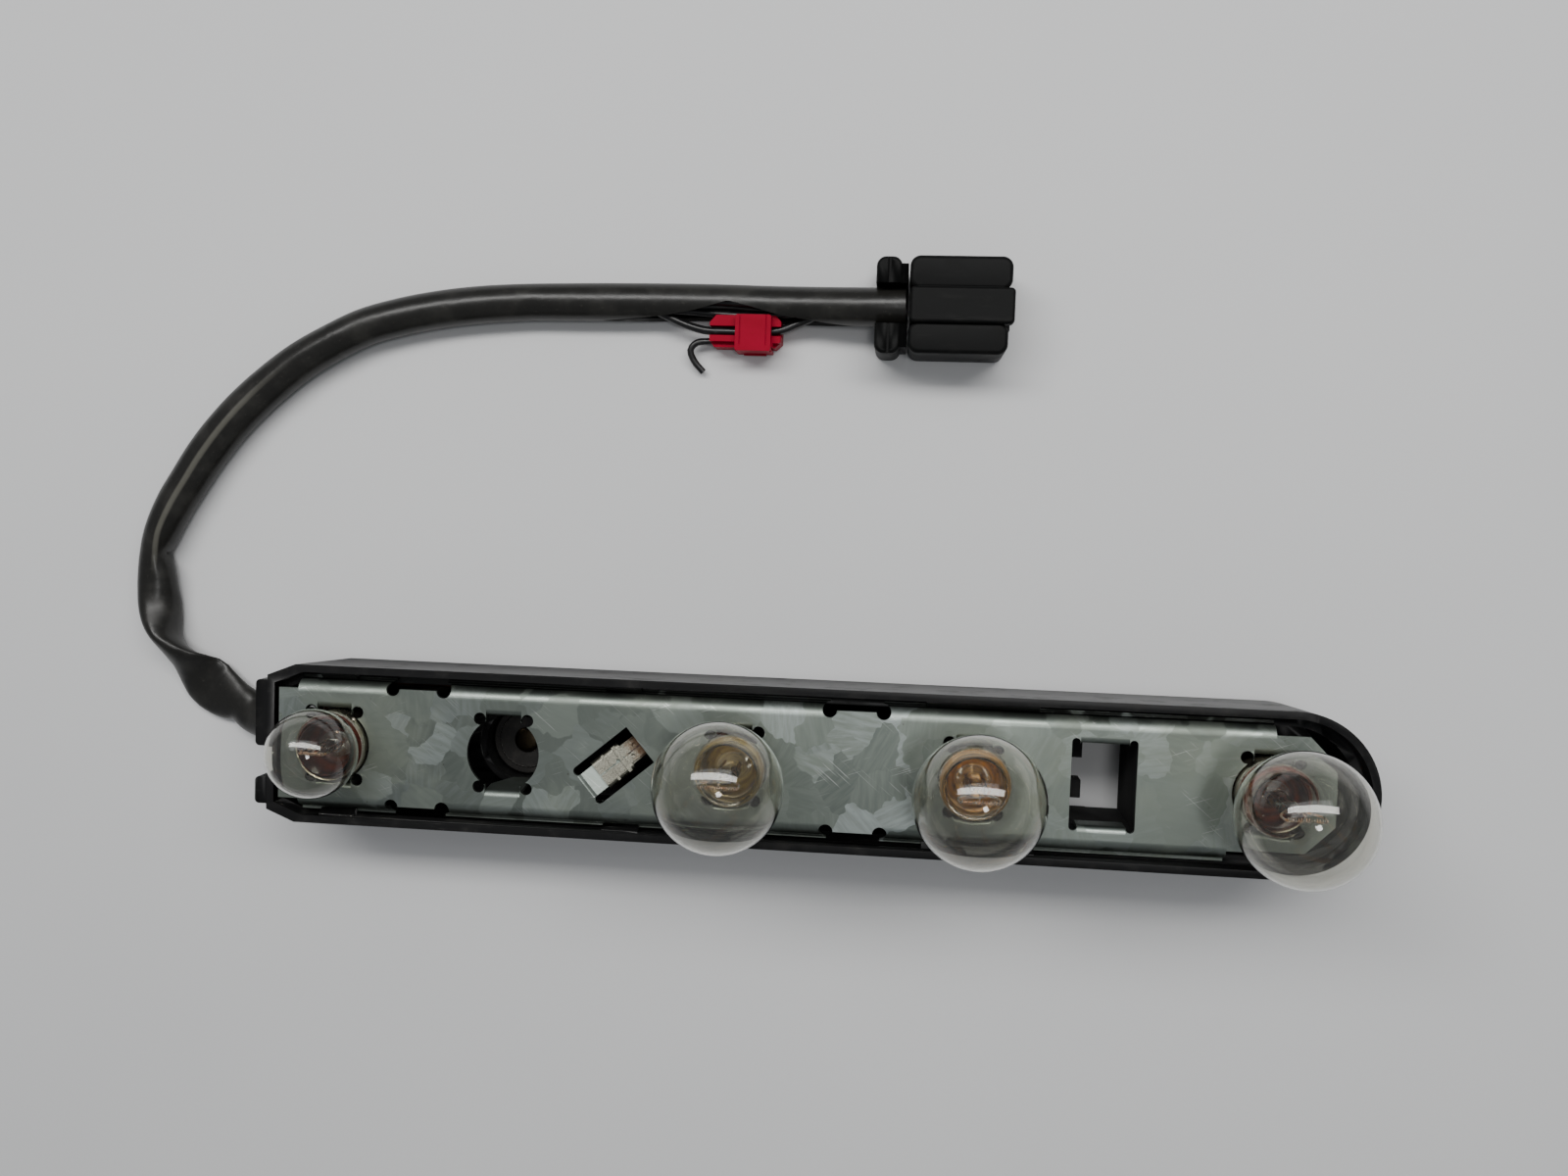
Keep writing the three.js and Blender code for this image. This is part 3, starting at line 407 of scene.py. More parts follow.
ZINC, TRAY_BLACK, TIN = galvanised_sheet(), tray_moulding(), tinned_sheet("tinned sheet")
BRASS, CAP, SPRING, FIBRE = brass_sheet(), cap_plating(), spring_wire(), contact_fibre()
GLASS, VITRITE, FILAMENT = globe_glass(), cap_insulator(), filament_wire()
SLEEVE, RED, PLUG_BLACK = sleeve_cover(), splice_nylon(), plug_moulding()
BLACK_WIRE = wire_cover("black wire cover", "wire_black", (0.006, 0.006, 0.0065), (0.022, 0.021, 0.02))
BROWN_WIRE = wire_cover("brown wire cover", "wire_brown", (0.045, 0.014, 0.007), (0.075, 0.032, 0.017))
LININGS = {
    1: base_lining(1, (0.15, 0.030, 0.014), (0.026, 0.007, 0.006), 0.0),
    3: base_lining(3, (0.66, 0.50, 0.20), (0.17, 0.115, 0.05), 0.6),
    4: base_lining(4, (0.85, 0.46, 0.11), (0.24, 0.11, 0.028), 0.6),
    5: base_lining(5, (0.24, 0.050, 0.020), (0.036, 0.009, 0.006), 0.0),
}


# ---- shapes: (points in millimetres, faces) -------------------------------------------------------
def arc(centre, radius, start, end, steps):
    turns = np.radians(np.linspace(start, end, steps + 1))
    return [(centre[0] + radius * math.cos(t), centre[1] + radius * math.sin(t)) for t in turns]


def moved(shape, matrix):
    points = np.array(shape[0], float)
    m = np.array(matrix)
    return points @ m[:3, :3].T + m[:3, 3], shape[1]


def shifted(shape, x=0.0, y=0.0, z=0.0):
    return moved(shape, Matrix.Translation((x, y, z)))


def merged(*shapes):
    points, faces = [], []
    for more, polygons in shapes:
        faces += [tuple(i + len(points) for i in face) for face in polygons]
        points += [tuple(p) for p in more]
    return np.array(points), faces


def loft(levels):
    """A closed solid through outlines of equal length, each an (outline, z) pair."""
    count = len(levels[0][0])
    points = [(x, y, z) for outline, z in levels for x, y in outline]
    faces = [tuple(range(count)), tuple(range((len(levels) - 1) * count, len(levels) * count))]
    for k in range(len(levels) - 1):
        for i in range(count):
            j = (i + 1) % count
            faces.append((k * count + i, k * count + j, (k + 1) * count + j, (k + 1) * count + i))
    return np.array(points, float), faces


def slab(outline, heights):
    return loft([(outline, heights[0]), (outline, heights[1])])


def block(xs, ys, heights):
    return slab([(xs[0], ys[0]), (xs[1], ys[0]), (xs[1], ys[1]), (xs[0], ys[1])], heights)


def rod(radius, heights, segments=48):
    return slab(arc((0, 0), radius, 0, 360, segments)[:-1], heights)


def laid(at):
    """Lays what is drawn up the Z axis along X, from the given place."""
    return Matrix.Translation(at) @ Matrix.Rotation(math.pi / 2, 4, "Y")


def lengthways(outline, xs):
    """A closed outline of (y, z) points, carried along X."""
    points, faces = slab(outline, xs)
    return points[:, [2, 0, 1]], faces


def rounded(xs, ys, radius, steps=6):
    """A rectangle in X and Y with round corners."""
    corners = [(xs[1], ys[1], 0), (xs[0], ys[1], 90), (xs[0], ys[0], 180), (xs[1], ys[0], 270)]
    outline = []
    for x, y, start in corners:
        inward = (-1 if x == xs[1] else 1, -1 if y == ys[1] else 1)
        outline += arc((x + inward[0] * radius, y + inward[1] * radius), radius, start, start + 90, steps)
    return outline


def lathe(profile, segments=64):
    """A profile of (radius, z) points round the Z axis. It closes on itself, or ends on the axis."""
    on_axis = [r < 1e-6 for r, _ in profile]
    closed = not (on_axis[0] or on_axis[-1])
    points, rows = [], []
    for (r, z), pole in zip(profile, on_axis):
        turns = [0] if pole else [2 * math.pi * i / segments for i in range(segments)]
        rows.append(range(len(points), len(points) + len(turns)))
        points += [(r * math.cos(t), r * math.sin(t), z) for t in turns]
    faces = []
    pairs = list(zip(rows, rows[1:])) + ([(rows[-1], rows[0])] if closed else [])
    for a, b in pairs:
        for i in range(segments):
            j = (i + 1) % segments
            ring = [a[i % len(a)], a[j % len(a)], b[j % len(b)], b[i % len(b)]]
            faces.append(tuple(dict.fromkeys(ring)))
    return np.array(points), faces


def run_along(line):
    """The distance along a line at each of its points."""
    return np.concatenate([[0], np.cumsum(np.linalg.norm(np.diff(line, axis=0), axis=1))])


def smooth_line(points, spacing):
    """Evenly spaced points on the centripetal curve through the given ones."""
    p = np.array(points, float)
    p = np.vstack([2 * p[0] - p[1], p, 2 * p[-1] - p[-2]])
    line = []
    for a, b, c, d in zip(p, p[1:], p[2:], p[3:]):
        t = np.cumsum([0] + [math.sqrt(np.linalg.norm(q - r)) for q, r in ((b, a), (c, b), (d, c))])
        for u in np.linspace(t[1], t[2], 16, endpoint=False):
            def mid(first, last, i, j):
                return ((t[j] - u) * first + (u - t[i]) * last) / (t[j] - t[i])
            ab, bc, cd = mid(a, b, 0, 1), mid(b, c, 1, 2), mid(c, d, 2, 3)
            line.append(mid(mid(ab, bc, 0, 2), mid(bc, cd, 1, 3), 1, 2))
    line = np.array(line + [p[-2]])
    run = run_along(line)
    places = np.linspace(0, run[-1], max(2, round(run[-1] / spacing) + 1))
    return np.column_stack([np.interp(places, run, line[:, k]) for k in range(3)])


# ---- objects ------------------------------------------------------------------------------------
def rework(mesh, weld=0.0, flatten=False, outwards=True):
    """Welds close points, joins faces that are flat together, or turns faces outwards."""
    work = bmesh.new()
    work.from_mesh(mesh)
    if weld:
        bmesh.ops.remove_doubles(work, verts=work.verts, dist=weld)
    if flatten:
        limit = math.radians(0.5)
        bmesh.ops.dissolve_limit(work, angle_limit=limit, verts=work.verts, edges=work.edges)
    if outwards:
        bmesh.ops.recalc_face_normals(work, faces=work.faces)
    work.to_mesh(mesh)
    work.free()


def solid(shape, name="solid"):
    """An object in millimetres from a closed shape, with its faces turned outwards."""
    mesh = bpy.data.meshes.new(name)
    mesh.from_pydata([tuple(p) for p in shape[0]], [], shape[1])
    rework(mesh)
    return placed(name, mesh)


def settle(made):
    """Makes what an object's modifiers give its own plain mesh."""
    shown = made.evaluated_get(bpy.context.evaluated_depsgraph_get())
    mesh = bpy.data.meshes.new_from_object(shown)
    made.modifiers.clear()
    made.data = mesh
    return made


def carve(body, *steps):
    """Joins or cuts the body with closed shapes, in the order given. A cut starts a little outside."""
    for operation, shape in steps:
        tool = solid(shape, "tool")
        step = body.modifiers.new("step", "BOOLEAN")
        step.operation, step.solver, step.object = operation, "MANIFOLD", tool
        settle(body)
        bpy.data.objects.remove(tool)
    return body


def add(*shapes):
    return [("UNION", shape) for shape in shapes]


def cut(*shapes):
    return [("DIFFERENCE", shape) for shape in shapes]


def soften(body, width, segments=2, angle=32):
    """Rounds every edge that is sharper than angle, by width."""
    rework(body.data, weld=0.004, flatten=True, outwards=False)
    edge = body.modifiers.new("edge", "BEVEL")
    edge.width, edge.segments, edge.limit_method = width, segments, "ANGLE"
    edge.angle_limit, edge.use_clamp_overlap = math.radians(angle), True
    for polygon in body.data.polygons:
        polygon.use_smooth = True
    body.modifiers.new("normals", "WEIGHTED_NORMAL").keep_sharp = True
    return settle(body)


def finish(made, name, look, body, replaces=(), sharp=40):
    """Puts a shape in metres, gives it its material, and lets it ride on its body."""
    made.name = made.data.name = name
    made.data.transform(Matrix.Scale(MM, 4))
    if sharp:
        made.data.shade_smooth()
        made.data.set_sharp_from_angle(angle=math.radians(sharp))
    made.data.materials.clear()
    made.data.materials.append(look.material)
    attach(made, body)
    if replaces:
        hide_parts(*([replaces] if isinstance(replaces, str) else replaces))
    return made


# ---- Geometry Nodes -----------------------------------------------------------------------------
class Recipe(Tree):
    """A Geometry Nodes tree with named sizes, whose result is turned into a plain mesh."""

    def __init__(self, name, **sizes):
        super().__init__(bpy.data.node_groups.new(name, "GeometryNodeTree"))
        for way in ("INPUT", "OUTPUT"):
            self.tree.interface.new_socket("Geometry", in_out=way, socket_type="NodeSocketGeometry")
        self.names = {}
        for label, value in {**sizes, "material": None}.items():
            kind = {int: "NodeSocketInt", float: "NodeSocketFloat"}.get(type(value), "NodeSocketMaterial")
            socket = self.tree.interface.new_socket(label, in_out="INPUT", socket_type=kind)
            if value is not None:
                socket.default_value = value
            self.names[label] = socket.identifier
        self.source = self.tree.nodes.new("NodeGroupInput")

    def size(self, label):
        return Signal(self, self.source.outputs[label])

    def tube(self, curve, sides, radius):
        """A round section carried along a curve, with closed ends."""
        section = {"Resolution": self.size(sides), "Radius": self.size(radius)}
        profile = self.node("GeometryNodeCurvePrimitiveCircle", {}, section)
        sockets = {"Curve": curve, "Profile Curve": profile, "Fill Caps": True}
        return self.node("GeometryNodeCurveToMesh", {}, sockets)

    def close(self, geometry):
        """Ends the tree: real geometry with its material on it."""
        real = self.node("GeometryNodeRealizeInstances", {}, {"Geometry": geometry})
        smooth = self.node("GeometryNodeSetShadeSmooth", {}, {"Geometry": real})
        sockets = {"Geometry": smooth, "Material": self.size("material")}
        self.node("NodeGroupOutput", {}, {0: self.node("GeometryNodeSetMaterial", {}, sockets)})
        return self

    def make(self, look, line=None, **sizes):
        """Runs the tree once, on a line of points where it needs one, and keeps its mesh."""
        mesh = bpy.data.meshes.new("recipe")
        if line is not None:
            mesh.from_pydata([tuple(p) for p in line], [(i, i + 1) for i in range(len(line) - 1)], [])
        made = placed("recipe", mesh)
        run = made.modifiers.new("recipe", "NODES")
        run.node_group = self.tree
        for label, value in {**sizes, "material": look.material}.items():
            run[self.names[label]] = value
        return settle(made)


def wire_recipe():
    """A round wire along a line."""
    r = Recipe("wire along a line", radius=0.7, sides=12)
    curve = r.node("GeometryNodeMeshToCurve", {}, {"Mesh": r.size("Geometry")})
    return r.close(r.tube(curve, "sides", "radius"))


def coil_recipe():
    """A wire wound into a coil up the Z axis, with its own radius at each end."""
    r = Recipe("wound coil", turns=2.5, foot_radius=4.0, head_radius=4.0, height=2.5, wire=0.25,
               steps=24, sides=8)
    labels = {"Resolution": "steps", "Rotations": "turns", "Start Radius": "foot_radius",
              "End Radius": "head_radius", "Height": "height"}
    sizes = {socket: r.size(label) for socket, label in labels.items()}
    return r.close(r.tube(r.node("GeometryNodeCurveSpiral", {}, sizes), "sides", "wire"))


def socket_contact_recipe():
    """Rows of split female contacts, in the plane of X and Y, with their mouths at the top."""
    r = Recipe("rows of female contacts", across=3, up=2, pitch_x=5.2, pitch_y=5.4, radius=1.05,
               depth=5.0, split=24.0, sheet=0.2)
    across, up = r.size("across"), r.size("up")
    grid = r.node("GeometryNodeMeshGrid", {}, {
        "Size X": (across - 1) * r.size("pitch_x"), "Size Y": (up - 1) * r.size("pitch_y"),
        "Vertices X": across, "Vertices Y": up})
    split = r.size("split") * math.radians(1)
    leaf = r.node("GeometryNodeCurveArc", {"mode": "RADIUS"}, {
        "Resolution": 20, "Radius": r.size("radius"), "Start Angle": split * 0.5,
        "Sweep Angle": 2 * math.pi - split})
    foot = r.node("ShaderNodeCombineXYZ", {}, {"Z": r.size("depth") * -1})
    stroke = r.node("GeometryNodeCurvePrimitiveLine", {}, {"Start": foot, "End": (0, 0, 0)})
    wall = r.node("GeometryNodeCurveToMesh", {}, {"Curve": stroke, "Profile Curve": leaf})
    outer = {"Mesh": wall, "Offset Scale": r.size("sheet"), "Individual": False}
    thick = r.node("GeometryNodeExtrudeMesh", {"mode": "FACES"}, outer)
    both = r.node("GeometryNodeJoinGeometry")
    for skin in (r.node("GeometryNodeFlipFaces", {}, {"Mesh": wall}), thick):
        r.tree.links.new(skin.socket, both.socket.node.inputs[0])
    return r.close(r.node("GeometryNodeInstanceOnPoints", {}, {"Points": grid, "Instance": both}))


WIRE, COIL, FEMALE_CONTACTS = wire_recipe(), coil_recipe(), socket_contact_recipe()


def wire(name, points, radius, look, body="carrier", replaces=(), sides=14, spacing=0.8):
    made = WIRE.make(look, smooth_line(points, spacing), radius=radius, sides=sides)
    return finish(made, name, look, body, replaces, sharp=50)


# ---- harness: the sleeve, on the route that the carrier's maker laid out ------------------------
# X is measured from the tray's square end wall.
SLEEVE_ROUTE = [
    (1.3, 0.9, 7.2), (-2.9, 0.9, 6.9), (-7.9, 1.1, 5.6), (-13.2, 2.2, 4.5),
    (-19.1, 4.5, 4.2), (-24.8, 8.0, 4.2), (-29.4, 12.2, 4.2), (-33.0, 17.2, 4.2),
    (-35.6, 22.8, 4.2), (-37.2, 28.6, 4.2), (-37.5, 34.2, 4.2), (-37.0, 40, 4.2),
    (-35.4, 45.3, 4.2), (-32.9, 50.5, 4.2), (-29.7, 55.7, 4.2), (-26.1, 61.3, 4.2),
    (-21.6, 67.1, 4.2), (-16.3, 72.8, 4.2), (-10.1, 78.3, 4.2), (-3.6, 83.2, 4.2),
    (3.8, 87.5, 4.2), (11.6, 91.2, 4.2), (20.3, 93.7, 4.2), (29.4, 95.5, 4.2),
    (39.2, 96.7, 4.2), (49.2, 97.3, 4.2), (59.6, 97.6, 4.2), (70, 97.8, 4.2),
    (80.6, 97.9, 4.2), (91.6, 97.9, 4.2), (102.2, 97.7, 4.5), (112, 97.5, 5.5),
    (120.2, 97.3, 6.9), (126.6, 97.2, 7.8), (132.5, 97.3, 8),
]
PORT = SLEEVE_ROUTE[0][1:]
SLEEVE_RADIUS = 4.1
SLEEVE_WALL = 0.75
ON_FLOOR = 0.12
# along the sleeve: from where to where it comes down on the floor, and from where to where it leaves it
COMES_DOWN, LEAVES = (10, 20), (200, 225)
# along the sleeve: half its width, half its height before it is turned, and the turn in degrees
SLEEVE_FLATTENING = [
    (0, 4.1, 4.1, 0), (5, 4.5, 3.7, 0), (10, 4.9, 3.2, 4), (15, 5.15, 2.9, 8), (20, 5.4, 2.5, 10),
    (24, 6.0, 2.0, 8), (28, 6.4, 1.7, 5), (31, 6.4, 1.7, 10), (34, 5.9, 2.0, 25), (37, 5.2, 2.6, 45),
    (40, 5.0, 2.8, 66), (43, 5.0, 2.95, 88), (46, 4.8, 3.2, 112), (50, 4.7, 3.3, 140), (54, 4.5, 3.6, 165),
    (58, 4.4, 3.7, 180), (63, 4.2, 3.7, 180), (68, 4.1, 4.0, 180), (75, 4.35, 3.9, 180), (90, 4.6, 3.7, 180),
    (105, 4.55, 3.7, 180), (130, 4.2, 4.0, 180), (300, 4.1, 4.1, 180),
]
# creases along the sleeve: place, depth, sharpness and the side that they are on, in degrees
SLEEVE_CREASES = [
    (63, 2.2, 2.6, 0), (43, 1.1, 2.2, 8), (37, 0.5, 3.0, 190), (20, 1.2, 2.2, 185), (29, 0.7, 5.0, 95),
    (16, 0.6, 2.4, 60), (176, 0.35, 7.0, 40),
]
# a fold that stands up along the sleeve: place, height and the side that it is on, in degrees
SLEEVE_FOLD = [
    (0, 0, 76), (57, 0, 76), (64, 0.42, 76), (80, 0.5, 80), (96, 0.42, 85), (118, 0.12, 92),
    (135, 0, 92), (300, 0, 92),
]
FOLD_SPREAD = 0.24
SLEEVE_SIDES = 44
# along X: upper and lower lip of the slit, in degrees up from the sleeve's near side
SLIT = [
    (66, 10, 10), (72, 24, -6), (80, 40, -22), (87, 62, -30), (94.2, 92, -34), (99, 78, -32), (105, 56, -26),
    (113, 34, -14), (121, 6, 4), (123, 0, 0),
]


def from_end_wall(points):
    return [(x + END_WALL, y, z) for x, y, z in points]


def side_and_up(line):
    """At each point, the level direction across the line, and the direction at right angles to both."""
    along = np.gradient(line, axis=0)
    along /= np.linalg.norm(along, axis=1)[:, None]
    side = np.cross(along, (0, 0, 1))
    side /= np.linalg.norm(side, axis=1)[:, None]
    return side, np.cross(side, along)


def between_stops(stops, place):
    table = np.array(stops, float)
    return [np.interp(place, table[:, 0], table[:, k]) for k in range(1, table.shape[1])]


def sleeve_ring(run, angles, wall):
    """The sleeve's section at one place, as offsets to the side and up."""
    wide, high, turn = between_stops(SLEEVE_FLATTENING, run)
    turn = math.radians(turn)
    own = angles - turn
    across, over = (wide - wall) * np.cos(own), (high - wall) * np.sin(own)
    side = across * math.cos(turn) - over * math.sin(turn)
    up = across * math.sin(turn) + over * math.cos(turn)
    scale = np.ones_like(angles)
    for place, depth, sharp, at in SLEEVE_CREASES:
        facing = np.clip(np.cos(angles - math.radians(at)), 0, 1) ** 1.5
        scale -= depth / SLEEVE_RADIUS * math.exp(-abs(run - place) / sharp) * facing
    rise, at = between_stops(SLEEVE_FOLD, run)
    scale += rise / SLEEVE_RADIUS * np.exp(-((angles - math.radians(at)) / FOLD_SPREAD) ** 2)
    return side * scale, up * scale


def slit_at(x):
    """The slit's upper and lower lip at a place along X, in radians."""
    return [math.radians(v) for v in between_stops(SLIT, x - END_WALL)]


def sleeve():
    line = smooth_line(from_end_wall(SLEEVE_ROUTE), 1.0)
    side, up = side_and_up(line)
    run = run_along(line)
    row = SLEEVE_SIDES + 1
    points, path, runs = [], [], []
    for i, centre in enumerate(line):
        upper, lower = slit_at(centre[0]) if run[i] >= run[-1] / 2 else (0, 0)
        angles = np.linspace(upper, lower + 2 * math.pi, row)
        rings = []
        for wall in (0, SLEEVE_WALL):
            a, b = sleeve_ring(run[i], angles, wall)
            rings.append(centre + a[:, None] * side[i] + b[:, None] * up[i])
        drop = np.interp(run[i], COMES_DOWN, [0, 1]) * np.interp(run[i], LEAVES, [1, 0])
        lift = (0, 0, (ON_FLOOR - rings[0][:, 2].min()) * drop)
        for ring in rings:
            points += [tuple(p + lift) for p in ring]
            runs += [(run[i], k / SLEEVE_SIDES * 26, 0) for k in range(row)]
        path.append(centre + lift)
    faces = []
    for i in range(len(line) - 1):
        a, b = 2 * row * i, 2 * row * (i + 1)
        for k in range(SLEEVE_SIDES):
            faces.append((a + k, b + k, b + k + 1, a + k + 1))
            m = k + row
            faces.append((a + m + 1, b + m + 1, b + m, a + m))
        slit = any(upper != lower for upper, lower in (slit_at(line[j][0]) for j in (i, i + 1)))
        if slit and run[i] > run[-1] / 2:
            faces.append((a, a + row, b + row, b))
            faces.append((a + row - 1, b + row - 1, b + 2 * row - 1, a + 2 * row - 1))
    for a, order in ((0, 1), ((len(line) - 1) * 2 * row, -1)):
        for k in range(SLEEVE_SIDES):
            faces.append((a + k, a + k + 1, a + k + row + 1, a + k + row)[::order])
    mesh = bpy.data.meshes.new("sleeve")
    mesh.from_pydata(points, [], faces)
    way = mesh.attributes.new("run", "FLOAT_VECTOR", "POINT")
    way.data.foreach_set("vector", np.array(runs, float).ravel())
    rework(mesh, weld=0.002)
    made = placed("sleeve", mesh)
    return finish(made, "sleeve", SLEEVE, "carrier", "harness_sleeve", sharp=60), path


SLEEVE_PIECE, SLEEVE_PATH = sleeve()


def sleeve_wires():
    """The wires that show where the sleeve is slit open."""
    full = smooth_line(from_end_wall(SLEEVE_ROUTE), 1.0)
    side, up = side_and_up(full)
    spots = [(2.1, 0.6), (1.2, -1.6), (0.3, 1.7), (-1.4, 0.4), (-0.8, -1.8), (1.0, 0.1)]
    made = []
    for number, (a, b) in enumerate(spots, 1):
        points = []
        for i in range(0, len(full), 6):
            x = full[i][0] - END_WALL
            if 62 <= x <= 126:
                across = a + 0.35 * math.sin(x / 5.3 + number * 2.1)
                over = b + 0.3 * math.cos(x / 6.1 + number)
                points.append(full[i] + side[i] * across + up[i] * over)
        made.append(wire(f"sleeve_wire_{number}", points, 0.78, BLACK_WIRE))
    return made


# ---- tap splice ---------------------------------------------------------------------------------
SPLICE_LOW, SPLICE_HIGH = box_mm("splice_body")
LID_LOW, LID_HIGH = box_mm("splice_lid")
SPLICE_WIRE_RADIUS = 0.9
SPLICE_WIRE_Y = 91.85
SPLICE_WIRE_Z = 4.9
STUB_RADIUS = 0.75
STUB_ROUTE = [
    (95.7, 89.9, 2.5), (89.4, 89.9, 2.5), (86.7, 89.5, 2.7), (85.4, 87.9, 2.6), (86.2, 85.6, 2),
    (88.2, 83.3, 1.3),
]
TAPPED_ROUTE = [
    (68, 98.2, 4.8), (74, 97.4, 5.0), (79.2, 95.4, 5.0), (84.6, 93.1, 4.9), (89.1, 91.95, 4.9),
    (93.6, 91.8, 4.9), (102.2, 91.8, 4.9), (105.6, 92.3, 4.9), (109.6, 93.9, 5.0), (115, 96.0, 5.8),
    (121, 97.4, 6.9),
]


def wire_slot(xs, half, heights):
    """What makes room for the tapped wire."""
    return block((xs[0] - 1, xs[1] + 1), (SPLICE_WIRE_Y - half, SPLICE_WIRE_Y + half), heights)


def splice_body():
    (x0, y0, z0), (x1, y1, z1) = SPLICE_LOW, SPLICE_HIGH
    outline = [
        (x0 + 0.9, y0), (x1 - 1.3, y0), (x1, y0 + 1.2), (x1, y1 - 1.2), (x1 - 1.2, y1),
        (x0 + 1.4, y1), (x0, y1 - 1.6), (x0, y0 + 1.2),
    ]
    half = SPLICE_WIRE_RADIUS + 0.1
    wire_way = wire_slot((x0, x1), half, (SPLICE_WIRE_Z - half, z1 + 1))
    slot = block((x0 - 1, x1 + 1), (y0 + 2.75, y0 + 3.1), (z1 - 2.2, z1 + 1))
    step = block((x0 - 1, LID_LOW[0] - 0.3), (y0 - 1, y0 + 1.1), (z1 - 1.4, z1 + 1))
    end_step = block((LID_HIGH[0] + 0.3, x1 + 1), (y0 - 1, y0 + 0.9), (z1 - 1.4, z1 + 1))
    mouth = moved(rod(STUB_RADIUS + 0.15, (-1, 5)), laid((x0, *STUB_ROUTE[0][1:])))
    body = carve(solid(slab(outline, (z0, z1))), *cut(wire_way, slot, step, end_step, mouth))
    return finish(soften(body, 0.22, 3), "splice_shell", RED, "carrier", "splice_body")


def splice_lid():
    (x0, y0, z0), (x1, y1, z1) = LID_LOW, LID_HIGH
    low = SPLICE_HIGH[2] + GAP
    near = SPLICE_LOW[1] - GAP
    cover = slab(rounded((x0, x1), (y0, y1), 0.5, 3), (low, z1))
    front = block((x0, x1), (y0, near), (z0, low + 0.1))
    catch = block((x0 + 1.4, x1 - 1.4), (y0 - 0.35, y0 + 0.2), (z0 + 0.9, z0 + 1.7))
    groove = block((x0 + 0.9, x0 + 1.2), (y0 + 1.2, y1 + 1), (z1 - 0.25, z1 + 1))
    body = carve(solid(cover), *add(front, catch), *cut(groove, shifted(groove, x=x1 - x0 - 2.1)))
    return finish(soften(body, 0.24, 3), "splice_cover", RED, "splice_lid", "splice_lid")


def splice_blade():
    low, high = box_mm("splice_blade")
    fork = wire_slot((low[0], high[0]), 0.8, (SPLICE_WIRE_Z - 0.8, high[2] + 1))
    body = carve(solid(block(*zip(low, high))), *cut(fork))
    return finish(soften(body, 0.12), "splice_knife", TIN, "carrier", "splice_blade")


# ---- plug ---------------------------------------------------------------------------------------
PLUG_LOW, PLUG_HIGH = box_mm("plug_housing")
PLUG_CAP_LOW, PLUG_CAP_HIGH = box_mm("plug_rear_cap")
INSERT_LOW, INSERT_HIGH = box_mm("plug_insert")
PLUG_BAND = (93.0, 100.5)
PLUG_BAND_RISE = 1.0
PLUG_BAND_AHEAD = 0.6
CONTACT_PITCH = (5.2, 5.4)
CONTACT_HOLE = 1.5


def plug_body():
    (x0, y0, z0), (x1, y1, z1) = PLUG_LOW, PLUG_HIGH
    front, top = x1 - PLUG_BAND_AHEAD, z1 - PLUG_BAND_RISE
    body = soften(solid(slab(rounded((x0 + 0.2, x1), PLUG_BAND, 0.9), (z0, z1))), 0.7, 4)
    for ys, length in (((PLUG_BAND[1] - 0.35, y1), front), ((y0, PLUG_BAND[0] + 0.35), front - 0.5)):
        shoulder = soften(solid(slab(rounded((x0, length), ys, 2.2, 8), (z0, top))), 0.9, 4)
        mesh = shoulder.data
        shape = np.array([v.co for v in mesh.vertices]), [tuple(p.vertices) for p in mesh.polygons]
        bpy.data.objects.remove(shoulder)
        carve(body, *add(shape))
    core = block((x0 + 1.4, front - 1.4), (y0 + 3, y1 - 3), (z0 + 0.6, top - 1.2))
    pocket = slab(rounded((front - 9, x1 + 3), (y0 + 1.6, y1 - 1.6), 0.9, 4), (z0 + 1.6, top - 1.6))
    carve(body, *add(core), *cut(pocket))
    return finish(body, "plug_shell", PLUG_BLACK, "carrier", "plug_housing", sharp=35)


def plug_cap():
    (x0, y0, z0), (x1, y1, z1) = PLUG_CAP_LOW, PLUG_CAP_HIGH
    y, z = SLEEVE_ROUTE[-1][1:]
    half = SLEEVE_RADIUS + 0.12
    way = block((x0 - 1, x1 + 1), (y - half, y + half), (z, z1 + 1))
    hollow = moved(rod(half, (-1, x1 - x0 + 1)), laid((x0, y, z)))
    lobes = soften(solid(slab(rounded((x0, x1 - 1.3), (y0, y1), 2.0, 6), (z0, z1))), 0.8, 4)
    waist = block((x1 - 3, x1), (y0 + 1.4, y1 - 1.4), (z0 + 0.8, z1 - 0.8))
    rib = block((x0 + 2.6, x0 + 3.1), (y0 - 1, y1 + 1), (z1 - 0.3, z1 + 1))
    body = carve(lobes, *add(waist), *cut(way, hollow, rib))
    return finish(body, "plug_back", PLUG_BLACK, "carrier", "plug_rear_cap", sharp=35)


def plug_insert():
    """The terminal block, and the contacts in its holes."""
    (x0, y0, z0), (x1, y1, z1) = INSERT_LOW, INSERT_HIGH
    y, z = (y0 + y1) / 2, (z0 + z1) / 2
    hole = rod(CONTACT_HOLE, (-6, 1), 24)
    holes = [moved(hole, laid((x1, y + across * CONTACT_PITCH[0], z + up * CONTACT_PITCH[1])))
             for across in (-1, 0, 1) for up in (-0.5, 0.5)]
    grooves = [block((x1 - 0.5, x1 + 1), (y + s * 2.6 - 0.2, y + s * 2.6 + 0.2), (z0 + 1, z1 - 1))
               for s in (-1, 1)]
    body = carve(solid(block((x0, x1), (y0, y1), (z0, z1))), *cut(*holes, *grooves))
    insert = finish(soften(body, 0.25), "plug_terminal_block", PLUG_BLACK, "carrier", "plug_insert")
    contacts = FEMALE_CONTACTS.make(
        TIN, across=2, up=3, pitch_x=CONTACT_PITCH[1], pitch_y=CONTACT_PITCH[0])
    contacts.data.transform(laid((x1 - 0.5, y, z)))
    return insert, finish(contacts, "plug_contacts", TIN, "carrier")


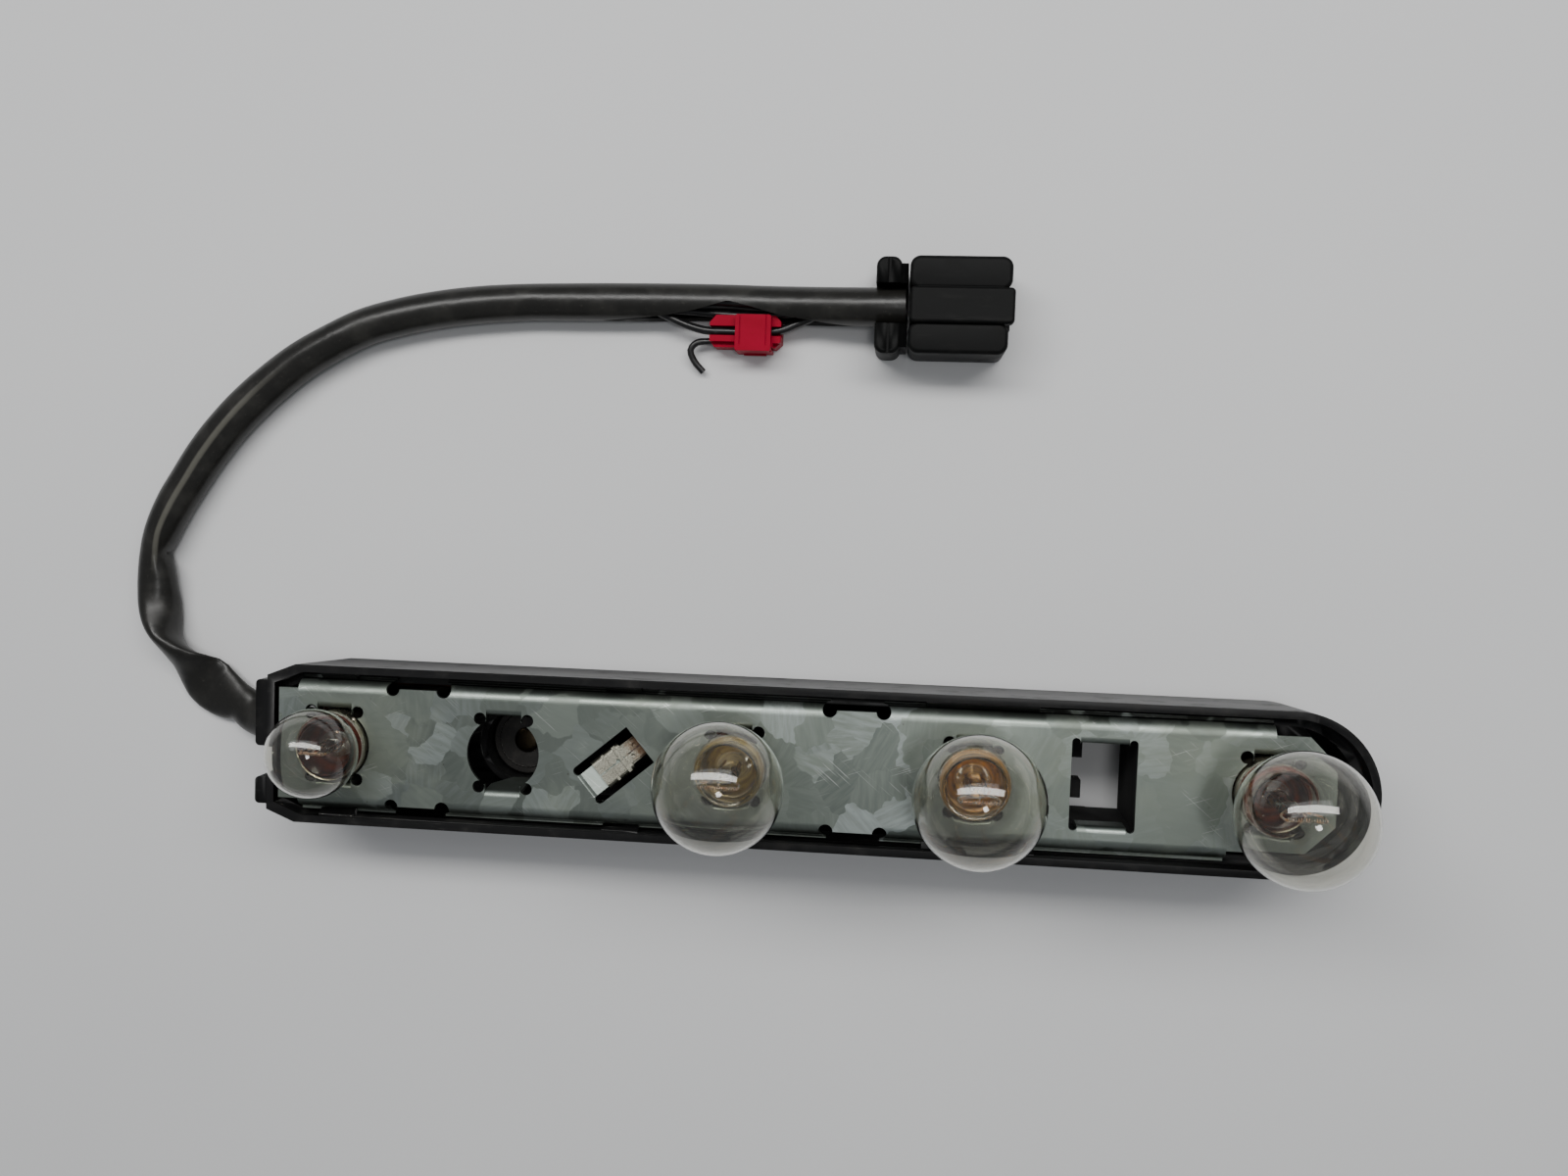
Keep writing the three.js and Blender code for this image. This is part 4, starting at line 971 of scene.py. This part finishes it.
HARNESS_WIRES = sleeve_wires() + [
    wire("tapped_lead", from_end_wall(TAPPED_ROUTE), SPLICE_WIRE_RADIUS, BLACK_WIRE, replaces="tapped_wire"),
    wire("tap_stub", from_end_wall(STUB_ROUTE), STUB_RADIUS, BLACK_WIRE, replaces="tap_stub_wire"),
]
PLUG_SHELLS = [plug_body(), plug_cap()]
TERMINAL_BLOCK, PLUG_CONTACTS = plug_insert()
SPLICE_PIECES = [splice_body(), splice_lid(), splice_blade()]


# ---- tray ---------------------------------------------------------------------------------------
TRAY_DRAFT = 1.3
TRAY_WALL = 1.6
TRAY_FLOOR = 1.6
END_CHAMFER = (6.2, 2.5)
POCKET_HALF = HALF_WIDTH - TRAY_WALL
CAVITY_HALF = POCKET_HALF - 2
LIP_DROP = 2.8
LIP_SHEET = 0.7
LEDGE = PLATE_TOP - LIP_DROP - LIP_SHEET - GAP
TABS = ((-0.9, 13.4), (-13.4, -7.6))
TAB_HEIGHTS = (RIM - 0.3 - 11.5, RIM - 0.3)
HOOKS = ((11.3, 19), (73.1, 80.8), (140, 162.8))
WELL_RADIUS, WELL_OUTER, WELL_TOP = 8.0, 9.4, PIN_LEVEL - 3.7
WINDOW_HALF = 8.4
SHEET = 0.8
SHAFT_CLEARANCE = 0.4
LUGS, LUG_HEIGHTS, LUG_REACH = ((3.9, 8.6), (-4.6, -0.9)), (10, 15), 3.3
RECESSES, RECESS_LENGTH, RECESS_HALF, RECESS_DEPTH = 8, 17, 12.2, 0.5


def tray_outline(inset, wall):
    half, low = HALF_WIDTH - inset, END_WALL + wall
    cut_x, cut_y = END_CHAMFER
    square = [(low + cut_x, half), (low, half - cut_y), (low, -half + cut_y), (low + cut_x, -half)]
    return square + arc((ROUND_CENTRE, 0), half, -90, 90, 40)


def window_shaft(grow, heights):
    reach = SHAFT_CLEARANCE + grow
    half = WINDOW_HALF + SHEET + reach
    return block((WINDOW[0] - reach, WINDOW[1] + reach), (-half, half), heights)


def tray():
    body = solid(loft([(tray_outline(TRAY_DRAFT, TRAY_DRAFT), 0), (tray_outline(0, 0), RIM)]))
    steps = cut(slab(tray_outline(TRAY_WALL, TRAY_WALL), (LEDGE, RIM + 1)),
                slab(tray_outline(HALF_WIDTH - CAVITY_HALF, TRAY_WALL + 0.01), (TRAY_FLOOR, RIM)))
    for x in SOCKETS.values():
        steps += add(shifted(rod(WELL_OUTER, (TRAY_FLOOR - 0.5, WELL_TOP), 56), x=x))
        steps += cut(shifted(rod(WELL_RADIUS, (TRAY_FLOOR, WELL_TOP + 1), 56), x=x),
                     block((x - 1.8, x + 1.8), (-WELL_OUTER - 1, 0), (TRAY_FLOOR, TRAY_FLOOR + 1.4)))
    steps += add(window_shaft(1.2, (TRAY_FLOOR - 0.5, PLATE_TOP - SHEET - GAP)))
    steps += cut(window_shaft(0, (-1, RIM)))
    wall = WINDOW[0] - SHAFT_CLEARANCE
    steps += add(*[block((wall - 0.4, WINDOW[0] + LUG_REACH), ys, LUG_HEIGHTS) for ys in LUGS])
    hook_top, hook_low = PLATE_TOP - 0.6, PLATE_TOP - LIP_DROP + 0.4
    for x0, x1 in HOOKS:
        for side in (-1, 1):
            nose = [(side * (POCKET_HALF + reach), z) for reach, z in (
                (0.4, hook_top), (-0.4, hook_top), (-1.4, hook_low + 0.5), (-1.3, hook_low),
                (0.4, hook_low))]
            steps += add(lengthways(nose, (END_WALL + x0, END_WALL + x1)))
    for ys in TABS:
        tab = rounded((END_WALL - TAB_REACH, END_WALL + TRAY_WALL - 0.1), ys, 0.9, 4)
        steps += add(slab(tab, TAB_HEIGHTS))
    port = rod(SLEEVE_RADIUS + 0.4, (-TAB_REACH - 1, TRAY_WALL + 1))
    steps += cut(moved(port, laid((END_WALL, *PORT))))
    for x in np.linspace(END_WALL + 9, TRAY_HIGH[0] - RECESS_LENGTH - 9, RECESSES):
        steps += cut(block((x, x + RECESS_LENGTH), (-RECESS_HALF, RECESS_HALF), (-1, RECESS_DEPTH)))
    return finish(soften(carve(body, *steps), 0.28, 2), "bulb_tray", TRAY_BLACK, "carrier", "tray")


# ---- ground plate -------------------------------------------------------------------------------
LIP_OUT = PLATE_HIGH[1]
FLANGE_OUT = LIP_OUT - 0.8
FLAT_HALF = FLANGE_OUT - 1.2
EDGE_BEND = 2.7
END_HALF = FLAT_HALF - 0.7
FLANGE_START = PLATE_ENDS[0] + 4.2
FLANGE_ENDS = {-1: SOCKETS[5] - 8.2, 1: SOCKETS[5] + 0.4}
PLATE_CORNER = 5.9
EARS = (END_WALL + 33, END_WALL + 125.8)
EAR_SPACING, EAR_RADIUS = 11.1, 1.5
BORE = 7.75
NOTCH_ANGLE, NOTCH_RADIUS, NOTCH_AT = 54.7, 1.3, BORE + 1.1
NOTCH_X = NOTCH_AT * math.cos(math.radians(NOTCH_ANGLE))
NOTCH_Y = NOTCH_AT * math.sin(math.radians(NOTCH_ANGLE))
CATCH_FACE = BORE + 0.15
CATCH_LOW = PIN_LEVEL + 1.3
BEND = 1.4
EMPTY_LEAN = 1.3
WINDOW_EAR, WINDOW_TAB = 0.85, 5
TONGUE_AT = (SOCKETS[2] + 17.9, -6.25)
TONGUE_TURN = math.radians(40.4)
TONGUE_LENGTH, TONGUE_WIDTH, TONGUE_SLOT, TONGUE_ROOT = 15, 9.4, 1.9, 0.6
BLADE_HALF, BLADE_LENGTH, BLADE_SLOPE = TONGUE_WIDTH / 2 - TONGUE_SLOT, 10, math.radians(18)
THROUGH = (PLATE_TOP - 6, PLATE_TOP + 2)
PUSH_ON_START, PUSH_ON_END, PUSH_ON_TAIL = 3.4, 10.2, 14.4
AT_TONGUE = Matrix.Translation((*TONGUE_AT, 0)) @ Matrix.Rotation(TONGUE_TURN, 4, "Z")
ON_BLADE = AT_TONGUE @ Matrix.Translation((TONGUE_ROOT, 0, PLATE_TOP)) @ Matrix.Rotation(BLADE_SLOPE, 4, "Y")


def plate_edge(side):
    """One long edge of the flat sheet: out to the tongues between the ears, in where it is bent down."""
    bent = FLANGE_OUT - EDGE_BEND
    line = [(PLATE_ENDS[0], END_HALF), (FLANGE_START, END_HALF), (FLANGE_START, bent)]
    for x in EARS:
        low, high = x - EAR_SPACING / 2, x + EAR_SPACING / 2
        line += [(low, bent), (low, FLAT_HALF), (high, FLAT_HALF), (high, bent)]
    line += [(FLANGE_ENDS[side], bent), (FLANGE_ENDS[side], END_HALF),
             (PLATE_ENDS[1] - PLATE_CORNER, END_HALF), (PLATE_ENDS[1], END_HALF - PLATE_CORNER)]
    return [(x, side * y) for x, y in line]


def flange(xs, side):
    """The turned-down edge with its lip, as one bent sheet."""
    top, low = PLATE_TOP, PLATE_TOP - LIP_DROP
    flat = FLANGE_OUT - EDGE_BEND
    bend = arc((flat, top - EDGE_BEND), EDGE_BEND, 90, 0, 12)
    foot = arc((FLANGE_OUT + 0.3, low + 0.3), 0.3, 180, 270, 3)
    inside = arc((flat, top - EDGE_BEND), EDGE_BEND - LIP_SHEET, 0, 90, 9)
    outline = [(flat - 0.6, top), *bend, *foot, (LIP_OUT, low), (LIP_OUT, low - LIP_SHEET),
               (FLANGE_OUT - LIP_SHEET, low - LIP_SHEET), *inside, (flat - 0.6, top - SHEET)]
    return lengthways([(side * y, z) for y, z in outline], xs)


def turned_down(half, face, side, low, lean=0.0):
    """A tab bent down beside an opening; face is the side of it that looks into the opening."""
    root = face + BEND
    over = arc((root, PLATE_TOP - BEND), BEND, 90, 180, 7)
    under = arc((root, PLATE_TOP - BEND), BEND - SHEET, 180, 90, 5)
    outline = [(root + 0.5, PLATE_TOP), *over, (face - lean, low), (face - lean + SHEET, low), *under,
               (root + 0.5, PLATE_TOP - SHEET)]
    return lengthways([(side * y, z) for y, z in outline], (-half, half))


def bayonet_bore(x, lean):
    """What one socket cuts out of the plate, its two catches, and what shapes their foot."""
    half, sides = NOTCH_X - NOTCH_RADIUS, (-1, 1)
    cuts = [rod(BORE, THROUGH, 72), block((-half, half), (-CATCH_FACE - BEND, CATCH_FACE + BEND), THROUGH)]
    notch = rod(NOTCH_RADIUS, THROUGH, 28)
    cuts += [shifted(notch, sx * NOTCH_X, sy * NOTCH_Y) for sx in sides for sy in sides]
    catches = [turned_down(half, CATCH_FACE, side, CATCH_LOW, lean) for side in sides]
    ramp = [(-half - 1, PLATE_TOP - 3.2), (-half + 4.6, CATCH_LOW - 1), (-half - 1, CATCH_LOW - 1)]
    points, faces = slab(ramp, (-12, 12))
    wedge = (points[:, [0, 2, 1]], faces)
    return [shifted(c, x=x) for c in cuts], [shifted(c, x=x) for c in catches], shifted(wedge, x=x)


def tongue_window():
    half = TONGUE_WIDTH / 2
    slot_end = TONGUE_SLOT / 2
    pieces = [block((TONGUE_ROOT + 0.4, TONGUE_LENGTH), (-half + 0.1, half - 0.1), THROUGH)]
    for side in (-1, 1):
        middle = side * (half - slot_end)
        pieces.append(block((slot_end, TONGUE_LENGTH), (middle - slot_end, middle + slot_end), THROUGH))
        pieces.append(shifted(rod(slot_end, THROUGH, 24), slot_end, middle))
    return [moved(piece, AT_TONGUE) for piece in pieces]


def ground_plate():
    steps = []
    stops = [x + s * EAR_SPACING / 2 for x in EARS for s in (-1, 1)]
    for side in (-1, 1):
        ends = [FLANGE_START, *stops, FLANGE_ENDS[side]]
        steps += add(*[flange((ends[i], ends[i + 1]), side) for i in (0, 2, 4)])
        steps += cut(*[shifted(rod(EAR_RADIUS, THROUGH, 32), x, side * FLAT_HALF) for x in stops])
    catches, wedges = [], []
    for k, x in SOCKETS.items():
        cuts, tabs, wedge = bayonet_bore(x, 0 if k in BULBS else EMPTY_LEAN)
        steps += cut(*cuts)
        catches += tabs
        wedges.append(wedge)
    opening, ear = WINDOW_HALF + BEND, WINDOW_EAR
    steps += cut(block(WINDOW, (-WINDOW_HALF, WINDOW_HALF), THROUGH),
                 block((WINDOW[0] + 2 * ear, WINDOW[1] - 2 * ear), (-opening, opening), THROUGH))
    steps += cut(*[shifted(rod(ear, THROUGH, 24), x, side * (WINDOW_HALF + 0.2))
                   for x in (WINDOW[0] + ear, WINDOW[1] - ear) for side in (-1, 1)])
    steps += cut(*tongue_window())
    steps += add(*catches)
    steps += cut(*wedges)
    middle, half = sum(WINDOW) / 2, (WINDOW[1] - WINDOW[0]) / 2 - 2 * ear
    tabs = [turned_down(half, WINDOW_HALF, side, PLATE_TOP - WINDOW_TAB) for side in (-1, 1)]
    steps += add(*[shifted(tab, x=middle) for tab in tabs])
    steps += add(moved(block((-0.4, BLADE_LENGTH), (-BLADE_HALF, BLADE_HALF), (-SHEET, 0)), ON_BLADE))
    outline = plate_edge(-1) + plate_edge(1)[::-1]
    body = carve(solid(slab(outline, (PLATE_TOP - SHEET, PLATE_TOP))), *steps)
    return finish(soften(body, 0.13, 2, 30), "socket_plate", ZINC, "carrier", "ground_plate", sharp=35)


EARTH_TIN = tinned_sheet("tinned earth terminal", (*TONGUE_AT, TONGUE_TURN))


def earth_terminal():
    """A female push-on terminal: a floor with two rolled wings that meet, a neck and a wire crimp."""
    half, low, high, wall = BLADE_HALF + GAP + 0.4, -SHEET - GAP - 0.4, GAP + 0.4, 0.4
    start, end, tail = PUSH_ON_START, PUSH_ON_END, PUSH_ON_TAIL
    roll = (high - low) / 2

    def wing(side):
        centre, turn = (side * (half - roll), low + roll), 150 if side > 0 else -330
        outline = arc(centre, roll, -90, turn, 14) + arc(centre, roll - wall, turn, -90, 14)
        return lengthways(outline, (start, end))

    floor_sheet = block((start, tail), (-half + roll, half - roll), (low, low + wall))
    cover = [block((start, end), ys, (high - wall, high))
             for ys in ((-half + roll, -0.16), (0.16, half - roll))]
    ridge = block((end - 1.6, end - 0.8), (-half + 0.3, half - 0.3), (high - 0.1, high + 0.5))
    step = block((start + 2.4, start + 3.05), (-half - 1, half + 1), (high - 0.34, high + 1))
    neck = block((end - 0.4, tail), (-1.9, 1.9), (low, high))
    wire_way = moved(rod(0.95, (0, tail - end + 2)), laid((end + 0.6, 0, (low + high) / 2)))
    hole = shifted(rod(0.45, (high - 1, high + 1), 20), end - 2.1, 0.1)
    dent = rod(0.5, (high - 0.16, high + 1), 20)
    dents = [shifted(dent, start + x, y) for x, y in ((1.3, 1.2), (3.6, -1.4))]
    ball = lathe([(0, -0.6), (0.42, -0.42), (0.6, 0), (0.42, 0.42), (0, 0.6)], 16)
    dimples = [shifted(ball, end + x, y, high + 0.32) for x, y in ((1.1, -0.95), (2.6, 0.8))]
    seam = block((end - 0.4, tail + 1), (-0.14, 0.14), (high - 0.35, high + 1))
    body = carve(solid(floor_sheet), *add(neck, *cover, wing(1), wing(-1), ridge),
                 *cut(wire_way, hole, step, *dents, *dimples, seam))
    made = soften(body, 0.12, 2)
    made.data.transform(ON_BLADE)
    return finish(made, "earth_push_on", EARTH_TIN, "carrier", "earth_terminal")


# ---- sprung contacts ----------------------------------------------------------------------------
SPRING_WIRE = 0.24


def sprung_contact(k, x):
    def turned(profile, segments):
        return shifted(lathe(profile, segments), x=x)

    low, high = box_mm(f"feed_terminal_{k}")
    foot, top = low[2], high[2]
    ring = turned([(2.2, foot), (6.4, foot), (6.4, top), (2.2, top)], 48)
    strap = slab(rounded((x - 1.5, x + 1.5), (low[1], -3.0), 0.6, 4), (foot, top))
    bead = turned([(3.0, top - 0.1), (3.0, top + 0.12), (3.4, top + 0.2), (3.8, top + 0.12),
                   (3.8, top - 0.1)], 40)
    body = soften(carve(solid(ring), *add(strap, bead)), min(0.14, (top - foot) / 4))
    finish(body, f"feed_ring_{k}", BRASS, "carrier", f"feed_terminal_{k}")

    foot, top = (corner[2] for corner in box_mm(f"contact_spring_{k}"))
    height = top - foot
    coil = COIL.make(SPRING, turns=2.6, foot_radius=5.0 - SPRING_WIRE, head_radius=3.5,
                     height=height - 2 * SPRING_WIRE, wire=SPRING_WIRE, steps=110, sides=10)
    coil.data.transform(Matrix.Translation((x, 0, foot + SPRING_WIRE)))
    spring = finish(coil, f"tapered_spring_{k}", SPRING, "carrier", f"contact_spring_{k}", sharp=0)
    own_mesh(spring)

    low, high = box_mm(f"contact_disc_{k}")
    radius, foot, top = (high[0] - low[0]) / 2, low[2], high[2]
    disc = turned([(1.4, foot), (radius - 0.25, foot), (radius, foot + 0.25), (radius, top - 0.45),
                   (radius - 0.2, top - 0.35), (6.35, top - 0.32), (6.28, top - 0.08), (6.12, top),
                   (1.4, top)], 72)
    finish(soften(solid(disc), 0.06), f"fibre_disc_{k}", FIBRE, f"contact_{k}", f"contact_disc_{k}")
    edge = turned([(6.14, top - 0.03), (6.22, top + 0.06), (6.32, top - 0.03), (6.24, top - 0.1)], 72)
    finish(solid(edge), f"disc_edge_{k}", SPRING, f"contact_{k}")

    foot, top = (corner[2] for corner in box_mm(f"contact_rivet_{k}"))
    rivet = turned([
        (0, top), (0.9, top - 0.03), (1.8, top - 0.12), (2.5, top - 0.3), (2.8, top - 0.5),
        (2.75, top - 0.6), (1.1, top - 0.6), (1.1, foot + 0.3), (1.3, foot + 0.12), (1.0, foot),
        (0.5, foot + 0.08), (0, foot + 0.1)], 48)
    finish(solid(rivet), f"brass_rivet_{k}", BRASS, f"contact_{k}", f"contact_rivet_{k}")


# ---- bulbs, drawn from the level of their pins ---------------------------------------------------
CAP_RADIUS, CAP_WALL = 7.45, 0.5
CAP_LOW, CAP_TOP = -5.2, 12.2
NECK, GLASS_WALL = 6.3, 0.35
GLASS_LOW = CAP_TOP - 4
SOLDER_TURN, SOLDER_LEVEL, SOLDER_SUNK = 0.9, 10.4, 0.45


def globe_profile(radius, centre, wall):
    """From the neck's foot up to the pole, at wall inside the globe's surface."""
    neck, ball = NECK - wall, radius - wall
    waist = math.degrees(math.asin(NECK / radius))
    start = np.array((neck, centre - radius * math.cos(math.radians(waist)) - 2.0))
    joins = waist + 9
    end = np.array((ball * math.sin(math.radians(joins)), centre - ball * math.cos(math.radians(joins))))
    pull = np.array((neck, start[1] + 1.9))
    blend = [tuple((1 - u) ** 2 * start + 2 * u * (1 - u) * pull + u * u * end) for u in np.linspace(0, 1, 7)]
    ball_arc = arc((0, centre), ball, joins - 90, 90, 48)[1:-1]
    return [(neck, GLASS_LOW + wall * 0.5), *blend, *ball_arc, (0, centre + ball)]


def bulb_cap(at):
    """The plated cap with its two bayonet pins and its drop of solder."""
    r, w = CAP_RADIUS, CAP_WALL
    profile = [
        (r - w - 1.3, CAP_LOW), (r - 0.7, CAP_LOW), (r - 0.2, CAP_LOW + 0.25), (r, CAP_LOW + 0.8),
        (r, -2.6), (r - 0.12, -2.45), (r - 0.12, -2.15), (r, -2.0), (r, 8.4), (r - 0.16, 8.7),
        (r - 0.16, 9.3), (r, 9.6), (r, 10.9), (r + 0.1, 11.2), (r + 0.14, 11.6), (r + 0.08, 12.0),
        (r - 0.15, CAP_TOP), (r - 0.5, 12.05), (r - 0.55, 11.6), (NECK + 0.12, 11.0), (NECK + 0.12, 8.0),
        (r - w, 7.4), (r - w, CAP_LOW + w), (r - w - 1.3, CAP_LOW + w),
    ]
    pin = lathe([(0, r - w - 0.2), (1.0, r - w - 0.2), (1.0, r + 0.95), (0.85, r + 1.15), (0.55, r + 1.25),
                 (0, r + 1.25)], 28)
    solder = lathe([(0, -0.55), (0.5, -0.4), (0.8, 0), (0.5, 0.35), (0, 0.45)], 20)
    spot = Matrix.Rotation(SOLDER_TURN, 4, "Z") @ Matrix.Translation((r - SOLDER_SUNK, 0, SOLDER_LEVEL))
    knobs = [moved(pin, at @ Matrix.Rotation(turn, 4, "X")) for turn in (math.pi / 2, -math.pi / 2)]
    return carve(solid(moved(lathe(profile, 96), at)), *add(*knobs, moved(solder, at @ spot)))


def filament_mount(radius, centre, press):
    """Two leads and a stay that stand on the stem, and the coil between the leads."""
    spread = 0.3 * radius
    parts = []
    for side in (-1, 1):
        lead = [(side * 1.1, 0, 9), (side * 1.2, 0, press - 2), (side * 1.5, 0.1, press + 0.6),
                (side * spread, 0.2, centre - 2.4), (side * spread, 0, centre - 0.3),
                (side * (spread - 0.35), -0.1, centre + 0.25)]
        parts.append(WIRE.make(FILAMENT, smooth_line(lead, 0.5), radius=0.24, sides=10))
    stay = [(0, 0.3, press - 0.5), (0.1, 0.6, press + 2), (0.1, 0.5, centre - 0.9), (0, 0, centre - 0.35)]
    parts.append(WIRE.make(FILAMENT, smooth_line(stay, 0.5), radius=0.16, sides=8))
    length = 2 * (spread - 0.3)
    coil = COIL.make(FILAMENT, turns=15.0, foot_radius=0.34, head_radius=0.34, height=length, wire=0.09,
                     steps=15 * 18, sides=6)
    coil.data.transform(laid((-length / 2, 0, centre)))
    parts.append(coil)
    chosen = {"active_object": coil, "selected_editable_objects": parts, "selected_objects": parts}
    with bpy.context.temp_override(**chosen):
        bpy.ops.object.join()
    return coil


def bulb(k, x):
    body, at = f"bulb_{k}", Matrix.Translation((x, 0, PIN_LEVEL))
    low, high = box_mm(f"bulb_glass_{k}")
    radius = (high[0] - low[0]) / 2
    centre = high[2] - radius - PIN_LEVEL
    press = centre - 0.62 * radius

    def place(shape, name, look, replaces=(), sharp=40):
        return finish(solid(moved(shape, at)), f"{name}_{k}", look, body, replaces, sharp)

    place(glass_shell(radius, centre), "bulb_globe", GLASS, f"bulb_glass_{k}", sharp=60)
    finish(bulb_cap(at), f"bayonet_cap_{k}", CAP, body, f"bulb_cap_{k}", sharp=50)

    inside = CAP_RADIUS - CAP_WALL - GAP
    boss = inside - 1.3
    insulator = [(0, -6.1), (2.4, -6.15), (boss - 1.2, -6.0), (boss - 0.3, -5.6), (boss, -5.0),
                 (boss, -4.4), (inside, -4.4), (inside, -3.2), (0, -3.2)]
    place(lathe(insulator, 56), "cap_insulator", VITRITE, f"bulb_contact_{k}")
    dome = [(0, -6.8), (0.9, -6.78), (1.6, -6.62), (2.05, -6.35), (2.15, -6.0), (0, -6.0)]
    place(lathe(dome, 32), "solder_tip", TIN)
    bowl = [(0, 6.4), (2.2, 6.5), (4.2, 7.1), (5.3, 8.4), (5.75, 10.2), (5.8, 14.2), (5.7, 14.2),
            (5.6, 10.3), (5.1, 8.6), (4.0, 7.5), (2.1, 6.95), (0, 6.85)]
    place(lathe(bowl, 56), "cap_inside", LININGS[k])
    collar = [(NECK + 0.06, 11.2), (NECK + 0.06, 13.5), (6.55, 13.2), (6.95, 12.5), (7.2, 12.1),
              (7.1, 11.7)]
    place(lathe(collar, 56), "basing_cement", LININGS[k])
    flare = [(0, 7.2), (3.4, 7.3), (3.0, 8.6), (2.1, 10.2), (1.75, press - 2.2), (1.5, press - 0.6),
             (0.7, press + 0.3), (0, press + 0.4)]
    place(moved(lathe(flare, 32), Matrix.Diagonal((1.25, 0.8, 1, 1))), "glass_stem", GLASS)

    mount = filament_mount(radius, centre, press)
    mount.data.transform(at)
    finish(mount, f"filament_mount_{k}", FILAMENT, body, f"bulb_filament_{k}", sharp=60)


def glass_shell(radius, centre):
    """The globe's skin, outside and inside, open into its foot."""
    count = 112
    outside = lathe(globe_profile(radius, centre, 0), count)
    inside = lathe(globe_profile(radius, centre, GLASS_WALL), count)
    points, faces = merged(outside, inside)
    offset = len(outside[0])
    for i in range(count):
        j = (i + 1) % count
        faces.append((i, j, offset + j, offset + i))
    return points, faces


# ---- wiring inside the tray ---------------------------------------------------------------------
FEED_RADIUS, GROUND_RADIUS = 0.7, 0.9
WIRE_LINE = CAVITY_HALF - FEED_RADIUS - 2 * GAP
SLEEVE_END = END_WALL + TRAY_WALL + GAP


def round_first_well(radius, side, line, level):
    away = WELL_OUTER + radius + 2 * GAP
    points = [(SLEEVE_END + GAP, PORT[0] + side * 1.7, level)]
    for turn in (166, 140, 115):
        t = math.radians(turn)
        points.append((SOCKETS[1] + away * math.cos(t), side * away * math.sin(t), level))
    return points + [(SOCKETS[1] - 1, side * line, level)]


def feed_wire(k, x):
    level = PORT[1] + (k - 3) * 1.6
    run = round_first_well(FEED_RADIUS, -1, WIRE_LINE, level)
    if k > 1:
        run += [(along, -WIRE_LINE, level) for along in (SOCKETS[1] + 6, x - 7, x - 5)]
    run.append((x + 1, -WIRE_LINE, box_mm(f"feed_terminal_{k}")[1][2] + FEED_RADIUS + 2 * GAP))
    return wire(f"feed_lead_{k}", run, FEED_RADIUS, BLACK_WIRE, replaces=f"feed_wire_{k}", sides=12,
                spacing=1.6)


def ground_wire():
    start, end = (ON_BLADE @ Vector((x, 0, -SHEET / 2)) for x in (PUSH_ON_END + 1.2, PUSH_ON_TAIL + GAP))
    (x, y, z), side, level = end, CAVITY_HALF - GROUND_RADIUS - 2 * GAP, PORT[1]
    points = [tuple(start), (x, y, z), (x + 1.6, y + 1.6, z - 0.7), (x + 2.2, y + 4.2, z - 2),
              (x + 0.4, side - 1.2, z - 3.4), (x - 4, side, z - 4.6), (x - 10, side, level),
              (SOCKETS[2], side, level), (SOCKETS[1] + 6, side, level),
              *round_first_well(GROUND_RADIUS, 1, side, level)[::-1]]
    return wire("earth_lead", points, GROUND_RADIUS, BROWN_WIRE, replaces="ground_wire", spacing=1.2)


tray()
ground_plate()
earth_terminal()
for number, place_x in SOCKETS.items():
    sprung_contact(number, place_x)
    feed_wire(number, place_x)
for number in BULBS:
    bulb(number, SOCKETS[number])
ground_wire()


# ---- floor and light ----------------------------------------------------------------------------
FLOOR_HALF, FLOOR_HEIGHTS = 2200, (-20, -0.02)


def floor():
    made = solid(block((-FLOOR_HALF, FLOOR_HALF), (-FLOOR_HALF, FLOOR_HALF), FLOOR_HEIGHTS), "floor")
    made.data.transform(Matrix.Scale(MM, 4))
    made.data.materials.append(floor_finish().material)


def lamp(name, at, toward, size, power, tint=(1, 1, 1)):
    data = bpy.data.lights.new(name, "AREA")
    data.shape, data.size, data.size_y = "RECTANGLE", *size
    data.energy, data.color = power, tint
    aim = (Vector(toward) - Vector(at)).to_track_quat("-Z", "Y")
    placed(name, data).matrix_world = Matrix.Translation(at) @ aim.to_matrix().to_4x4()


def studio():
    middle = (0, 0, 0.03)
    lamp("strip", (0.0, 0.36, 0.62), middle, size=(1.1, 0.14), power=4.6, tint=(1, 0.985, 0.96))
    lamp("glow", (-0.05, 0.50, 0.84), middle, size=(1.2, 0.42), power=2.2, tint=(0.96, 0.98, 1))
    lamp("overhead", (0.13, 0.03, 0.85), (0.08, 0, 0), size=(0.12, 0.12), power=0.8)
    world = bpy.data.worlds.new("soft room")
    world.use_nodes = True
    background = world.node_tree.nodes["Background"].inputs
    background["Color"].default_value = (0.62, 0.64, 0.67, 1)
    background["Strength"].default_value = 0.34
    bpy.context.scene.world = world


floor()
studio()
